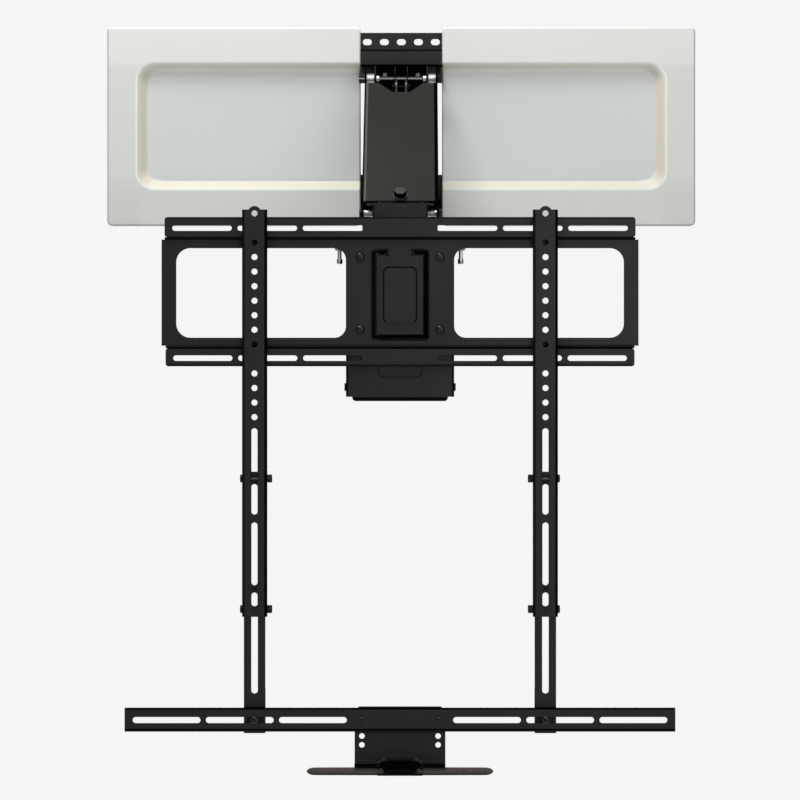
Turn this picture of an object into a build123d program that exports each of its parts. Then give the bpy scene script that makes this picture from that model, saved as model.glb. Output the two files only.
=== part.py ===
from build123d import *
import os
from math import hypot

# Pull-down television mount, in millimetres, shown lowered to viewing height.
# +Z is up and the wall is the plane Y = 0. The mount reaches towards -Y, where the viewer
# stands. The origin is the centre of the wall plate's back face. Below, a depth is a
# distance in front of the wall, so it is -Y, and a half width is measured from X = 0.

# Fits and clearances
shaft_gap = 0.05          # radial play of a turning shaft in its hole
slide_gap = 0.3           # play on each side of a sliding channel
face_gap = 0.1            # side play between faces that turn past each other
side_gap = 0.5            # room between the tilting housing and the swivel plate

# Wall plate
plate_wall = 3.0
plate_half_width = 420.0
plate_half_height = 141.0
plate_corner = 8.0
slot_length = 13.4
slot_width = 9.2
slot_pitch = 25.4
slots_in_row = 5
slot_row_height = 127.2
stud_half_spacing = 203.2
window_inner = 41.0
window_outer = 62.0
window_top = 66.0
window_bottom = -71.0
window_corner = 4.0
wing_cut_width = 80.0
wing_cut_height = 116.0
wing_cut_corner = 15.0
wing_cut_first = 150.0
wing_cut_margin = 30.0
wing_cuts = 3

# Four-bar linkage: the two wall pivots stand one above the other, and so do the two at the head
wall_pivot_depth = 50.0
wall_pivot_height = 70.0
pivot_spacing = 174.0
arm_reach = 271.0
arm_drop = 205.0

# Channel that carries the wall pivots
ear_wall = 2.5
ear_half_width = 39.8
ear_top = 91.0
ear_bottom = -125.0
ear_edge_depth = 28.0
ear_lobe_radius = 13.0
ear_blend = 8.0

# Cross channel above the pivots
cross_half_width = 60.5
cross_front = 27.5
cross_top = 115.0
cross_skirt_bottom = 66.0

# Anchor for the gas strut, on the wall side
anchor_half_width = 9.9
anchor_wall = 1.6
anchor_top = 88.0
anchor_bottom = 50.0
anchor_base_half_width = 30.0
anchor_base_bottom = 64.0
anchor_nose_radius = 8.0
strut_pin_forward = 12.0
strut_pin_below = 14.0
strut_pin_radius = 3.0
strut_pin_overhang = 0.8
strut_pin_head_radius = 5.0
strut_pin_head_wall = 3.6
rivet_half_spacing = 24.7
rivet_height = 77.6
rivet_radius = 3.6
rivet_head = 2.0

# Pivot hardware
shaft_radius = 4.0
shaft_waist_radius = 2.6
bolt_head_radius = 6.0
long_head_across_flats = 12.6
long_head_length = 9.0
long_head_chamfer = 1.2
low_head_length = 3.4
nut_across_flats = 12.0
nut_length = 5.4
low_nut_length = 4.2
bushing_radius = 7.65
bushing_neck_radius = 5.0
head_bushing_radius = 5.8
bushing_neck = 3.2
collar_radius = 4.8
collar_inner = 32.6
spacer_radius = 6.5
socket_across_flats = 5.0
socket_depth = 2.0

# Upper arm
arm_half_width = 53.5
arm_wall = 2.0
arm_top = 16.5
arm_bottom = -12.0
arm_bend = 5.0
arm_face_start = 36.5
arm_face_end_gap = 7.6
arm_notch_half_width = 33.0
arm_notch_floor_half_width = 13.0
arm_notch_depth = 24.0
arm_notch_round = 6.0

# Lower arm
lower_half_width = 34.0
lower_top = 9.5
lower_bend = 4.0
lower_face_start = 14.0

# Gas strut between the anchor and the far end of the upper arm
strut_block_gap = 17.8
strut_block_length = 17.0
strut_block_half_width = 11.0
strut_cheek = 4.6
strut_block_base = 3.5
strut_block_nose = 6.5
hex_across_flats = 15.4
hex_height = 8.4
hex_washer_radius = 10.5
hex_washer = 2.0
cylinder_radius = 11.0
cylinder_start = 16.0
cylinder_length = 154.0
cylinder_chamfer = 1.5
cylinder_lug_radius = 8.5
cylinder_bore_start = 40.0
rod_radius = 5.0
rod_buried = 110.0
fork_wall = 2.2
fork_hole_radius = 8.0
fork_eye_radius = 10.5
fork_arm_length = 26.0
fork_base_length = 10.0

# Carrier at the end of the arms
carrier_half_width = 38.5
carrier_wall = 2.5
carrier_front_offset = 13.0
carrier_top_offset = 14.0
carrier_back_offset = 14.0
carrier_bend = 4.0
carrier_lip_half_width = 47.1
carrier_lip_wall = 2.4
carrier_lip_depth = 9.0

# Vertical swivel pin
swivel_offset = 25.0
swivel_pin_radius = 6.0
swivel_barrel_radius = 11.0
swivel_top = -200.0
lug_height = 14.0
barrel_height = 60.0
washer_wall = 1.2
pin_head_radius = 9.0
pin_head = 4.0
pin_head_chamfer = 1.0
clip_radius = 8.5
clip_wall = 2.0
pin_tail = 2.0

# Tilt bracket, housing and head frame
bracket_front_offset = 14.0
bracket_wall = 3.0
bracket_top = -182.0
bracket_plate_bottom = -364.0
bracket_neck_half_width = 8.0
bracket_flange_top = -330.0
bracket_flange_back = 12.0
tilt_height = -376.0
tilt_offset = 6.0
tilt_boss_radius = 10.0
tilt_screw_radius = 3.0
tilt_head_radius = 5.5
tilt_head = 2.3
tilt_screw_inner = 66.0
housing_gap = 3.0
sheet = 2.5
housing_half_width = 74.7
housing_back_offset = 8.0
housing_shallow_offset = 4.0
housing_top = -178.0
housing_bottom = -389.0
housing_step = -330.0
housing_bend = 3.5
housing_lip_half_width = 66.0
housing_lip_bottom = -395.0
housing_lip_corner = 5.0
pocket_half_width = 30.0
pocket_bottom = -362.0
pocket_top = -300.0
pocket_corner = 9.0
pocket_depth = 1.2

frame_half_width = 329.0
frame_top = -172.0
frame_bottom = -318.4
frame_flange_depth = 16.0
rail_step = 4.0
top_rail_half_width = 324.6
top_rail_top = -141.0
top_rail_bottom = -168.7
bottom_rail_half_width = 323.2
bottom_rail_top = -321.9
bottom_rail_bottom = -346.7
rail_corner = 4.0
rail_slot_start = 51.95
rail_slot_margin = 10.5
rail_slot_bridge = 7.85
rail_slot_width = 7.6
rail_slots = 3
rail_slot_corner = 1.7
top_rail_slot_height = -156.2
bottom_rail_slot_height = -335.5
frame_window_inner = 74.7
frame_window_outer = 308.8
frame_window_top = -183.9
frame_window_bottom = -307.4
frame_window_inner_corner = 16.0
frame_window_outer_corner = 19.5
tongue_half_width = 32.6
tongue_top = -193.0
tongue_bottom = -303.0
tongue_corner = 1.6
tongue_gap = 6.8
tongue_skirt_width = 5.6
tongue_skirt_depth = 6.0
tongue_neck_half_width = 17.0
tongue_notch_half_width = 12.1
tongue_notch_depth = 2.0
emboss_half_width = 22.6
emboss_top = -210.0
emboss_bottom = -287.5
emboss_corner = 8.0
emboss_rise = 1.0
frame_bolt_half_spacing = 55.0
frame_bolt_top = -196.0
frame_bolt_bottom = -296.0
frame_bolt_radius = 3.0
button_radius = 5.5
button_height = 3.2
button_chamfer = 1.4
button_socket = 3.4

level_pin_half_spacing = 84.0
level_pin_offset = 6.0
level_tab_half_width = 4.5
level_tab_corner = 1.5
level_tab_centre_shift = 1.5
level_tab_top = -176.0
level_tab_bottom = -187.0
level_shaft_radius = 2.9
level_shaft_bottom = -198.4
level_head_radius = 4.1
level_head_bottom = -206.0
level_head_chamfer = 1.0

# Straps that bolt to the television
strap_spacing = 400.0
strap_width = 34.3
strap_wall = 2.0
strap_depth = 13.0
strap_bend = 2.6
strap_shoulder = -130.9
strap_ear_top = -126.0
strap_ear_radius = 8.8
strap_bottom = -690.7
strap_hole_radius = 4.2
strap_hole_first = -136.2
strap_hole_pitch = 20.0
strap_hole_numbers = (0, 2, 3, 4, 5, 6, 7, 8, 9, 11, 12, 13, 14)
strap_slots = ((-431.5, -497.3), (-508.3, -550.1), (-561.0, -647.3), (-657.3, -684.0))
hook_wall = 2.3
hook_drop = 9.0
hook_thickness = 3.0
lock_tab_top = -364.6
lock_tab_wall = 3.0
lock_tab_edge = 1.8
lock_screw_radius = 2.5
lock_screw_shift = 9.0
lock_head_radius = 4.4
lock_head = 3.0
clamp_heights = (-501.0, -680.8)
clamp_bolt_offset = 8.0
clamp_bolt_radius = 3.0
clamp_head_radius = 5.5
clamp_head = 3.0
clamp_head_chamfer = 0.75
clamp_knob = 6.8

# Sliding extensions and the soundbar bar
bar_travel = 110.0
extension_wall = 2.0
extension_depth = 9.0
extension_bend = 2.6
extension_top = -491.4
extension_bottom = -850.8
extension_slot_width = 9.0
extension_slots = ((-502.5, -676.4), (-685.3, -796.4))
bar_half_width = 378.0
bar_top = -815.7
bar_bottom = -848.0
bar_wall = 2.0
bar_depth = 8.0
bar_bend = 2.6
bar_slot_start = 72.95
bar_slot_margin = 11.05
bar_slot_bridge = 7.35
bar_slot_width = 8.5
bar_slots = 3
bar_slot_height = -831.8
bar_bolt_radius = 3.0
bar_bolt_head_radius = 5.4
bar_bolt_head = 3.0
bar_nut = 5.0
bar_nut_across_flats = 9.0
bracket_bolt_head_radius = 3.9
bracket_bolt_head = 1.6

# Handle bracket: a plate behind the bar whose lower edge is folded forwards over an arch.
# The fold, its hem and the arch are given above the handle's axis.
handle_plate_half_width = 62.4
handle_plate_top = -814.2
handle_plate_top_half_width = 56.3
handle_fold_above = 12.0
handle_fold_depth = 14.0
handle_hem_above = 7.4
handle_bolt_half_spacing = 52.4
handle_bolt_height = -831.5
handle_hole_radius = 3.85
handle_hole_first = -854.9
handle_hole_pitch = 12.1
handle_holes = 2
arch_above = 16.9
arch_half_width = 23.9
arch_mouth_half_width = 31.1

# Pull handle: a steel core in a trough, with two tapered grips
handle_height = -902.2
handle_forward = 6.8
handle_core_radius = 2.6
handle_hub_half_width = 20.6
handle_hub_radius = 3.6
handle_back_half_width = 30.0
handle_back_wall = 4.0
handle_trough_wall = 1.5
handle_lip_half_width = 31.0
handle_lip_height = 3.0
handle_lip_gap = 0.7
handle_tongue_top = -866.0
handle_tongue_half_width = 13.0
grip_inner = 21.6
grip_nose_length = 11.4
grip_radius = 5.5
grip_outer_radius = 3.9
grip_end = 128.0
grip_end_round = 5.0
grip_cap_wall = 3.0

# Covers
cover_inner = 60.6
cover_outer = 436.5
cover_half_height = 147.5
cover_front = 30.0
cover_wall = 2.5
cover_corner = 7.0
cover_back = 0.5
tray_half_width = 395.0
tray_half_height = 95.5
tray_corner = 27.0
tray_depth = 15.0
tray_floor_half_width = 378.0
tray_floor_top = 85.0
tray_floor_bottom = -81.0
tray_floor_corner = 20.0
cover_post_radius = 5.0
cover_post_first = 100.0
cover_post_margin = 8.0
cover_post_below_top = 15.0
cover_post_above_bottom = 11.0
cover_posts = 3

# Worked out from the sizes above
arm_length = hypot(arm_reach, arm_drop)
along = Vector(0, -arm_reach / arm_length, -arm_drop / arm_length)
outward = Vector(0, -arm_drop / arm_length, arm_reach / arm_length)
upper_wall = (wall_pivot_depth, wall_pivot_height)
lower_wall = (wall_pivot_depth, wall_pivot_height - pivot_spacing)
upper_head = (wall_pivot_depth + arm_reach, wall_pivot_height - arm_drop)
lower_head = (upper_head[0], upper_head[1] - pivot_spacing)
strut_pin = (upper_wall[0] + strut_pin_forward, upper_wall[1] - strut_pin_below)
web_front = plate_wall + ear_wall
fork_half_width = anchor_half_width - anchor_wall - face_gap
carrier_front = upper_head[0] + carrier_front_offset
swivel_depth = upper_head[0] + swivel_offset
bracket_front = swivel_depth + bracket_front_offset
housing_front = bracket_front + housing_gap + sheet
housing_back = swivel_depth - housing_back_offset
tilt_depth = swivel_depth + tilt_offset
frame_front = housing_front + sheet
rail_front = frame_front + rail_step
strap_front = rail_front + strap_depth
extension_front = strap_front - strap_wall - slide_gap
clamp_depth = strap_front - clamp_bolt_offset
bar_front = extension_front + bar_depth
handle_place = (extension_front + handle_forward, handle_height)
handle_fold_height = handle_height + handle_fold_above
handle_hem_bottom = handle_height + handle_hem_above
arch_top = handle_height + arch_above
strap_centre = strap_spacing / 2
lock_depth = rail_front - sheet / 2


def slab(face, depth_low, depth_high):
    """Thicken a face drawn in X and Z between two depths."""
    return extrude(Plane.XZ.offset(depth_low) * face, amount=depth_high - depth_low)


def side_slab(face, x_low, x_high):
    """Thicken a face drawn in depth and Z between two X values."""
    plane = Plane(origin=(x_high, 0, 0), x_dir=(0, -1, 0), z_dir=(-1, 0, 0))
    return extrude(plane * face, amount=x_high - x_low)


def plan_slab(face, z_low, z_high):
    """Thicken a face drawn in X and depth between two heights."""
    plane = Plane(origin=(0, 0, z_high), x_dir=(1, 0, 0), z_dir=(0, 0, -1))
    return extrude(plane * face, amount=z_high - z_low)


def arm_plane(pivot, x, x_dir, z_dir, distance=0.0, rise=0.0):
    """Plane at a point of an arm, given along the arm and outward from it."""
    base = Vector(x, -pivot[0], pivot[1]) + along * distance + outward * rise
    return Plane(origin=base, x_dir=x_dir, z_dir=z_dir)


def arm_side(face, pivot, x_low, x_high):
    """Thicken along X a face drawn along the arm and outward from it."""
    return extrude(arm_plane(pivot, x_high, along, (-1, 0, 0)) * face, amount=x_high - x_low)


def arm_section(face, pivot, start, end):
    """Run a section drawn in X and outward along the arm."""
    return extrude(arm_plane(pivot, 0, (1, 0, 0), along, distance=start) * face, amount=end - start)


def arm_face(face, pivot, low, high):
    """Thicken a face drawn in X and along the arm between two heights over the arm."""
    plane = arm_plane(pivot, 0, (1, 0, 0), outward * -1, rise=high)
    return extrude(plane * face, amount=high - low)


def region(x_low, x_high, y_low, y_high):
    """Plain rectangle between limits."""
    centre = Pos((x_low + x_high) / 2, (y_low + y_high) / 2)
    return centre * Rectangle(x_high - x_low, y_high - y_low)


def rounded(x_low, x_high, y_low, y_high, corner):
    """Rectangle between limits with round corners."""
    centre = Pos((x_low + x_high) / 2, (y_low + y_high) / 2)
    return centre * RectangleRounded(x_high - x_low, y_high - y_low, corner)


def upright_slot(x, top, bottom, width):
    """Upright round-ended slot."""
    return Pos(x, (top + bottom) / 2) * Rot(0, 0, 90) * SlotOverall(top - bottom, width)


def channel(width, top, bottom, wall, bend):
    """U section open downwards, with its web's outer face at top."""
    outer = region(-width / 2, width / 2, bottom, top)
    outer = fillet(outer.vertices().group_by(Axis.Y)[-1], bend)
    inner = region(-width / 2 + wall, width / 2 - wall, bottom, top - wall)
    inner = fillet(inner.vertices().group_by(Axis.Y)[-1], bend - wall)
    return outer - inner


def disc(place, radius):
    """Circle at a point of a drawing."""
    return Pos(*place) * Circle(radius)


def hexagon(place, across_flats):
    """Hexagon at a point of a drawing, by its size across the flats, with upright flats."""
    return Pos(*place) * RegularPolygon(across_flats / 2, 6, major_radius=False, rotation=30)


def spread(first, last, count):
    """Evenly spaced places from the first to the last."""
    return [first + (last - first) * number / (count - 1) for number in range(count)]


def slot_row(start, end, bridge, count, width):
    """Row of long slots between two ends, with a bridge between neighbours, on both sides of X = 0."""
    length = (end - start - (count - 1) * bridge) / count
    row = Sketch()
    for middle in spread(start + length / 2, end - length / 2, count):
        for side in (-1, 1):
            row += Pos(side * middle, 0) * SlotOverall(length, width)
    return row


def both_sides(piece):
    """The piece and its mirror image across X = 0."""
    return piece + mirror(piece, about=Plane.YZ)


def group(pieces):
    """Separate solids that share one node."""
    return Compound(children=[solid for piece in pieces for solid in piece.solids()])


def cross_bolt(place, seat, tail):
    """Socket-head bolt along X: its head bears at X = -seat and its plain end stops at X = tail."""
    face = -seat - low_head_length
    head = side_slab(disc(place, bolt_head_radius), face, -seat)
    head -= side_slab(hexagon(place, socket_across_flats), face, face + socket_depth)
    return head + side_slab(disc(place, shaft_radius), -seat, tail)


def long_bolt(place, seat, tail, waist):
    """Hexagon bolt along X, like a cross bolt, with a thinner shank between X = -waist and waist."""
    ring = disc(place, shaft_radius) - disc(place, shaft_waist_radius)
    bolt = side_slab(disc(place, shaft_radius), -seat, tail) - side_slab(ring, -waist, waist)
    head = side_slab(hexagon(place, long_head_across_flats), -seat - long_head_length, -seat)
    return bolt + chamfer(head.edges().group_by(Axis.X)[0], long_head_chamfer)


def cross_nut(place, seat, length):
    """Hexagon nut whose face bears at X = seat."""
    ring = hexagon(place, nut_across_flats) - disc(place, shaft_radius)
    return side_slab(ring, seat, seat + length)


def ring_pair(place, inner, outer, radius):
    """Left and right plain rings on a cross bolt."""
    return both_sides(side_slab(disc(place, radius) - disc(place, shaft_radius), inner, outer))


def button_bolt(place, seat, tail, shank_radius, head_radius, head_height):
    """Button-head bolt along the depth, with its head in front of the seat."""
    head = slab(disc(place, head_radius), seat, seat + head_height)
    head = chamfer(head.edges().group_by(Axis.Y)[0], min(button_chamfer, head_height / 2))
    socket = slab(hexagon(place, button_socket), seat + head_height / 2, seat + head_height)
    return head - socket + slab(disc(place, shank_radius), tail, seat)


def wall_plate():
    """Flat plate with slot rows, the two centre windows and lightened wings."""
    face = rounded(-plate_half_width, plate_half_width, -plate_half_height, plate_half_height, plate_corner)
    slot = SlotOverall(slot_length, slot_width)
    for row in (-slot_row_height, slot_row_height):
        for cluster in (-stud_half_spacing, 0, stud_half_spacing):
            for number in range(slots_in_row):
                shift = (number - (slots_in_row - 1) / 2) * slot_pitch
                face -= Pos(cluster + shift, row) * slot
    for side in (-1, 1):
        window = rounded(window_inner, window_outer, window_bottom, window_top, window_corner)
        face -= window if side > 0 else mirror(window, about=Plane.YZ)
        wing_cut_last = plate_half_width - wing_cut_margin - wing_cut_width / 2
        wing_cut = RectangleRounded(wing_cut_width, wing_cut_height, wing_cut_corner)
        for middle in spread(wing_cut_first, wing_cut_last, wing_cuts):
            face -= Pos(side * middle, 0) * wing_cut
    return slab(face, 0, plate_wall)


def pivot_channel():
    """Upright channel on the wall plate; its two ears carry the wall ends of both arms."""
    profile = region(plate_wall, ear_edge_depth, ear_bottom, ear_top)
    for place in (upper_wall, lower_wall):
        lobe_low = place[1] - ear_lobe_radius
        lobe_high = place[1] + ear_lobe_radius
        profile += region(plate_wall, place[0], lobe_low, lobe_high)
    edge_column = profile.vertices().group_by(Axis.X)[1].sort_by(Axis.Y)
    profile = fillet(edge_column[1:-1], ear_blend)
    for place in (upper_wall, lower_wall):
        profile += disc(place, ear_lobe_radius)
        profile -= disc(place, shaft_radius)
    web = slab(region(-ear_half_width, ear_half_width, ear_bottom, ear_top), plate_wall, web_front)
    return web + both_sides(side_slab(profile, ear_half_width - ear_wall, ear_half_width))


def cross_channel():
    """Folded channel across the top of the opening, with a skirt at each end."""
    outer = region(plate_wall, cross_front, ear_top, cross_top)
    outer = fillet(outer.vertices().group_by(Axis.X)[-1], ear_wall)
    inner = region(plate_wall, cross_front - ear_wall, ear_top + ear_wall, cross_top - ear_wall)
    tube = side_slab(outer - inner, -cross_half_width, cross_half_width)
    skirt = rounded(plate_wall, cross_front, cross_skirt_bottom, cross_top, ear_wall)
    return tube + both_sides(side_slab(skirt, cross_half_width - ear_wall, cross_half_width))


def spring_anchor():
    """Folded anchor on the pivot channel that holds the wall end of the gas strut."""
    base = region(-anchor_base_half_width, anchor_base_half_width, anchor_base_bottom, anchor_top)
    for side in (-1, 1):
        base -= disc((side * rivet_half_spacing, rivet_height), rivet_radius / 2)
    profile = region(web_front, strut_pin[0] - anchor_nose_radius, anchor_bottom, anchor_top)
    profile = chamfer(profile.vertices().group_by(Axis.X)[-1], anchor_nose_radius)
    nose_bottom = strut_pin[1] - anchor_nose_radius
    nose_top = strut_pin[1] + anchor_nose_radius
    profile += region(web_front, strut_pin[0], nose_bottom, nose_top)
    profile += disc(strut_pin, anchor_nose_radius)
    profile -= disc(upper_wall, shaft_waist_radius)
    profile -= disc(strut_pin, strut_pin_radius)
    cheeks = both_sides(side_slab(profile, anchor_half_width - anchor_wall, anchor_half_width))
    return slab(base, web_front, web_front + anchor_wall) + cheeks


def anchor_rivets():
    """Two rivets that hold the anchor to the pivot channel."""
    seat = web_front + anchor_wall
    heads = []
    for side in (-1, 1):
        place = (side * rivet_half_spacing, rivet_height)
        head = slab(disc(place, rivet_radius), seat, seat + rivet_head)
        head = chamfer(head.edges().group_by(Axis.Y)[0], rivet_head / 2)
        heads.append(head + slab(disc(place, rivet_radius / 2), web_front, seat))
    return group(heads)


def anchor_pin():
    """Headed pin of the gas strut in the anchor."""
    end = anchor_half_width
    pin = side_slab(disc(strut_pin, strut_pin_radius), -end, end)
    heads = side_slab(disc(strut_pin, strut_pin_head_radius), end, end + strut_pin_head_wall)
    return pin + both_sides(heads)


def cover(side):
    """Moulded half cover with a sunken tray that runs out at the centre opening."""
    def tray(grow):
        top = RectangleRounded(
            2 * (tray_half_width + grow), 2 * (tray_half_height + grow), tray_corner + grow)
        floor = rounded(
            -tray_floor_half_width - grow, tray_floor_half_width + grow,
            tray_floor_bottom - grow, tray_floor_top + grow, tray_floor_corner + grow)
        floor_depth = cover_front - tray_depth - grow
        return loft([Plane.XZ.offset(cover_front) * top, Plane.XZ.offset(floor_depth) * floor], ruled=True)

    outline = rounded(cover_inner, cover_outer, -cover_half_height, cover_half_height, cover_corner)
    shell = slab(outline, cover_back, cover_front)
    shell = chamfer(shell.faces().sort_by(Axis.Y)[0].edges(), cover_wall / 2)
    inside = rounded(
        cover_inner + cover_wall, cover_outer - cover_wall,
        -cover_half_height + cover_wall, cover_half_height - cover_wall, cover_corner - cover_wall)
    hollow = slab(inside, cover_back, cover_front - cover_wall) - tray(cover_wall)
    shell = shell - tray(0) - hollow
    seat_height = plate_half_height + slide_gap
    seat = region(cover_inner, cover_inner + cover_wall, -seat_height, seat_height)
    shell -= slab(seat, 0, plate_wall)
    back_of_floor = cover_front - tray_depth - cover_wall / 2
    post_heights = (tray_floor_bottom + cover_post_above_bottom, tray_floor_top - cover_post_below_top)
    for x in spread(cover_post_first, tray_floor_half_width - cover_post_margin, cover_posts):
        for height in post_heights:
            shell += slab(disc((x, height), cover_post_radius), plate_wall, back_of_floor)
    return shell if side > 0 else mirror(shell, about=Plane.YZ)


def upper_arm():
    """Wide folded channel with round-ended flanges and a notched top edge."""
    section = channel(2 * arm_half_width, arm_top, arm_bottom, arm_wall, arm_bend)
    margin = arm_top - arm_bottom
    arm = arm_section(section, upper_wall, -margin, arm_length + margin)
    middle = (arm_top + arm_bottom) / 2
    outline = Pos(arm_length / 2, middle) * SlotOverall(arm_length + margin, margin)
    for distance in (0, arm_length):
        outline -= disc((distance, 0), shaft_radius + shaft_gap)
    arm &= arm_side(outline, upper_wall, -arm_half_width, arm_half_width)
    inner = arm_half_width - arm_wall
    face_end = arm_length - arm_face_end_gap
    cuts = region(-inner, inner, -margin, arm_face_start)
    cuts += region(-inner, inner, face_end, arm_length + margin)
    notch_floor = arm_face_start + arm_notch_depth
    notch = make_face(Polyline(
        (-arm_notch_half_width, arm_face_start), (-arm_notch_floor_half_width, notch_floor),
        (arm_notch_floor_half_width, notch_floor), (arm_notch_half_width, arm_face_start), close=True))
    cuts += fillet(notch.vertices().group_by(Axis.Y)[-1], arm_notch_round)
    cuts += disc((0, arm_length - strut_block_gap), shaft_radius)
    return arm - arm_face(cuts, upper_wall, arm_bottom, arm_top)


def arm_hex_bolt():
    """Tall hexagon bolt through the arm's face into the strut block."""
    place = (0, arm_length - strut_block_gap)
    seat = arm_top + hex_washer
    outline = Pos(*place) * Rot(0, 0, 30) * hexagon((0, 0), hex_across_flats)
    head = arm_face(outline, upper_wall, seat, seat + hex_height)
    shank_end = arm_top - arm_wall - strut_block_base
    return head + arm_face(disc(place, shaft_radius), upper_wall, shank_end, seat)


def arm_washer():
    """Washer under the hexagon bolt."""
    place = (0, arm_length - strut_block_gap)
    ring = disc(place, hex_washer_radius) - disc(place, shaft_radius)
    return arm_face(ring, upper_wall, arm_top, arm_top + hex_washer)


def strut_block():
    """Forked block under the arm's face that holds the arm end of the strut."""
    middle = arm_length - strut_block_gap
    top = arm_top - arm_wall
    half = strut_block_length / 2
    profile = region(middle - half, middle + half, 0, top) + disc((middle, 0), strut_block_nose)
    block = arm_side(profile, upper_wall, -strut_block_half_width, strut_block_half_width)
    gap_half = strut_block_half_width - strut_cheek
    gap = region(middle - arm_top, middle + arm_top, -arm_top, top - strut_block_base)
    block -= arm_side(gap, upper_wall, -gap_half, gap_half)
    pin_hole = disc((middle, 0), strut_pin_radius)
    block -= arm_side(pin_hole, upper_wall, -strut_block_half_width, strut_block_half_width)
    return block - arm_face(disc((0, middle), shaft_radius), upper_wall, top - strut_block_base, top)


def strut_block_pin():
    """Pin of the strut in its block."""
    place = (arm_length - strut_block_gap, 0)
    end = strut_block_half_width + strut_pin_overhang
    return arm_side(disc(place, strut_pin_radius), upper_wall, -end, end)


def lower_arm():
    """Narrow folded channel under the upper arm."""
    section = channel(2 * lower_half_width, lower_top, -lower_top, arm_wall, lower_bend)
    margin = 2 * lower_top
    arm = arm_section(section, lower_wall, -margin, arm_length + margin)
    outline = Pos(arm_length / 2, 0) * SlotOverall(arm_length + margin, margin)
    for distance in (0, arm_length):
        outline -= disc((distance, 0), shaft_radius + shaft_gap)
    arm &= arm_side(outline, lower_wall, -lower_half_width, lower_half_width)
    inner = lower_half_width - arm_wall
    cuts = region(-inner, inner, -margin, lower_face_start)
    cuts += region(-inner, inner, arm_length - lower_face_start, arm_length + margin)
    return arm - arm_face(cuts, lower_wall, -lower_top, lower_top)


def strut_line():
    """Plane at the strut's arm pivot, with its Z along the strut and its X along X."""
    foot = Vector(0, -upper_wall[0], upper_wall[1]) + along * (arm_length - strut_block_gap)
    tip = Vector(0, -strut_pin[0], strut_pin[1])
    return Plane(origin=foot, x_dir=(1, 0, 0), z_dir=(tip - foot).normalized()), (tip - foot).length


def strut_part(face, start, end):
    """Run a section along the strut."""
    plane = strut_line()[0]
    return extrude(plane.offset(start) * face, amount=end - start)


def strut_side(face, x_low, x_high):
    """Thicken along X a face drawn along the strut and across it."""
    line = strut_line()[0]
    plane = Plane(origin=line.origin + Vector(x_low, 0, 0), x_dir=line.z_dir, z_dir=(1, 0, 0))
    return extrude(plane * face, amount=x_high - x_low)


def strut_cylinder():
    """Gas cylinder with the lug that turns on the block's pin."""
    end = cylinder_start + cylinder_length
    body = strut_part(Circle(cylinder_radius), cylinder_start, end)
    body = chamfer(body.edges().filter_by(GeomType.CIRCLE), cylinder_chamfer)
    lug_half = strut_block_half_width - strut_cheek - face_gap
    lug = Circle(cylinder_lug_radius) + region(0, cylinder_start, -cylinder_lug_radius, cylinder_lug_radius)
    body += strut_side(lug, -lug_half, lug_half)
    body -= strut_side(Circle(strut_pin_radius + shaft_gap), -lug_half, lug_half)
    return body - strut_part(Circle(rod_radius + shaft_gap), cylinder_bore_start, end)


def strut_rod():
    """Rod of the gas strut."""
    end = strut_line()[1] - fork_arm_length
    start = cylinder_start + cylinder_length - rod_buried
    return strut_part(Circle(rod_radius), start, end - fork_base_length)


def strut_fork():
    """Fork on the rod, with wide eyes round the anchor pin."""
    length = strut_line()[1]
    base_end = length - fork_arm_length
    arms = Pos(length, 0) * Circle(fork_eye_radius)
    arms += region(base_end - fork_base_length, length, -anchor_nose_radius, anchor_nose_radius)
    fork = strut_side(arms, -fork_half_width, fork_half_width)
    gap_half = fork_half_width - fork_wall
    gap = region(base_end, length + fork_eye_radius, -fork_eye_radius, fork_eye_radius)
    fork -= strut_side(gap, -gap_half, gap_half)
    return fork - strut_side(Pos(length, 0) * Circle(fork_hole_radius), -fork_half_width, fork_half_width)


def carrier():
    """Upright channel at the end of the arms, with two lugs for the swivel pin."""
    back = upper_head[0] - carrier_back_offset
    top = upper_head[1] + carrier_top_offset
    bottom = lower_head[1] - carrier_top_offset
    section = channel(2 * carrier_half_width, carrier_front, back, carrier_wall, carrier_bend)
    body = plan_slab(section, bottom, top)
    outline = region(back, carrier_front, bottom, top)
    outline = fillet(outline.vertices().group_by(Axis.X)[0], carrier_back_offset - shaft_gap)
    for place in (upper_head, lower_head):
        outline -= disc(place, shaft_radius)
    body &= side_slab(outline, -carrier_half_width, carrier_half_width)
    lip = region(
        -carrier_lip_half_width, carrier_lip_half_width, carrier_front - carrier_lip_depth, carrier_front)
    body += plan_slab(lip, top - carrier_lip_wall, top)
    lug = disc((0, swivel_depth), swivel_barrel_radius)
    lug += region(-swivel_barrel_radius, swivel_barrel_radius, carrier_front, swivel_depth)
    lug -= disc((0, swivel_depth), swivel_pin_radius)
    lower_lug_top = swivel_top - lug_height - barrel_height - 2 * washer_wall
    for lug_top in (swivel_top, lower_lug_top):
        body += plan_slab(lug, lug_top - lug_height, lug_top)
    return body


def swivel_pin():
    """Headed upright pin through the lugs and the barrel."""
    bottom = swivel_top - 2 * lug_height - barrel_height - 2 * washer_wall - clip_wall - pin_tail
    centre = (0, swivel_depth)
    pin = plan_slab(disc(centre, swivel_pin_radius), bottom, swivel_top)
    head = plan_slab(disc(centre, pin_head_radius), swivel_top, swivel_top + pin_head)
    return pin + chamfer(head.edges().group_by(Axis.Z)[-1], pin_head_chamfer)


def swivel_clip():
    """Retaining ring under the lower lug."""
    top = swivel_top - 2 * lug_height - barrel_height - 2 * washer_wall
    centre = (0, swivel_depth)
    return plan_slab(disc(centre, clip_radius) - disc(centre, swivel_pin_radius), top - clip_wall, top)


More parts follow.
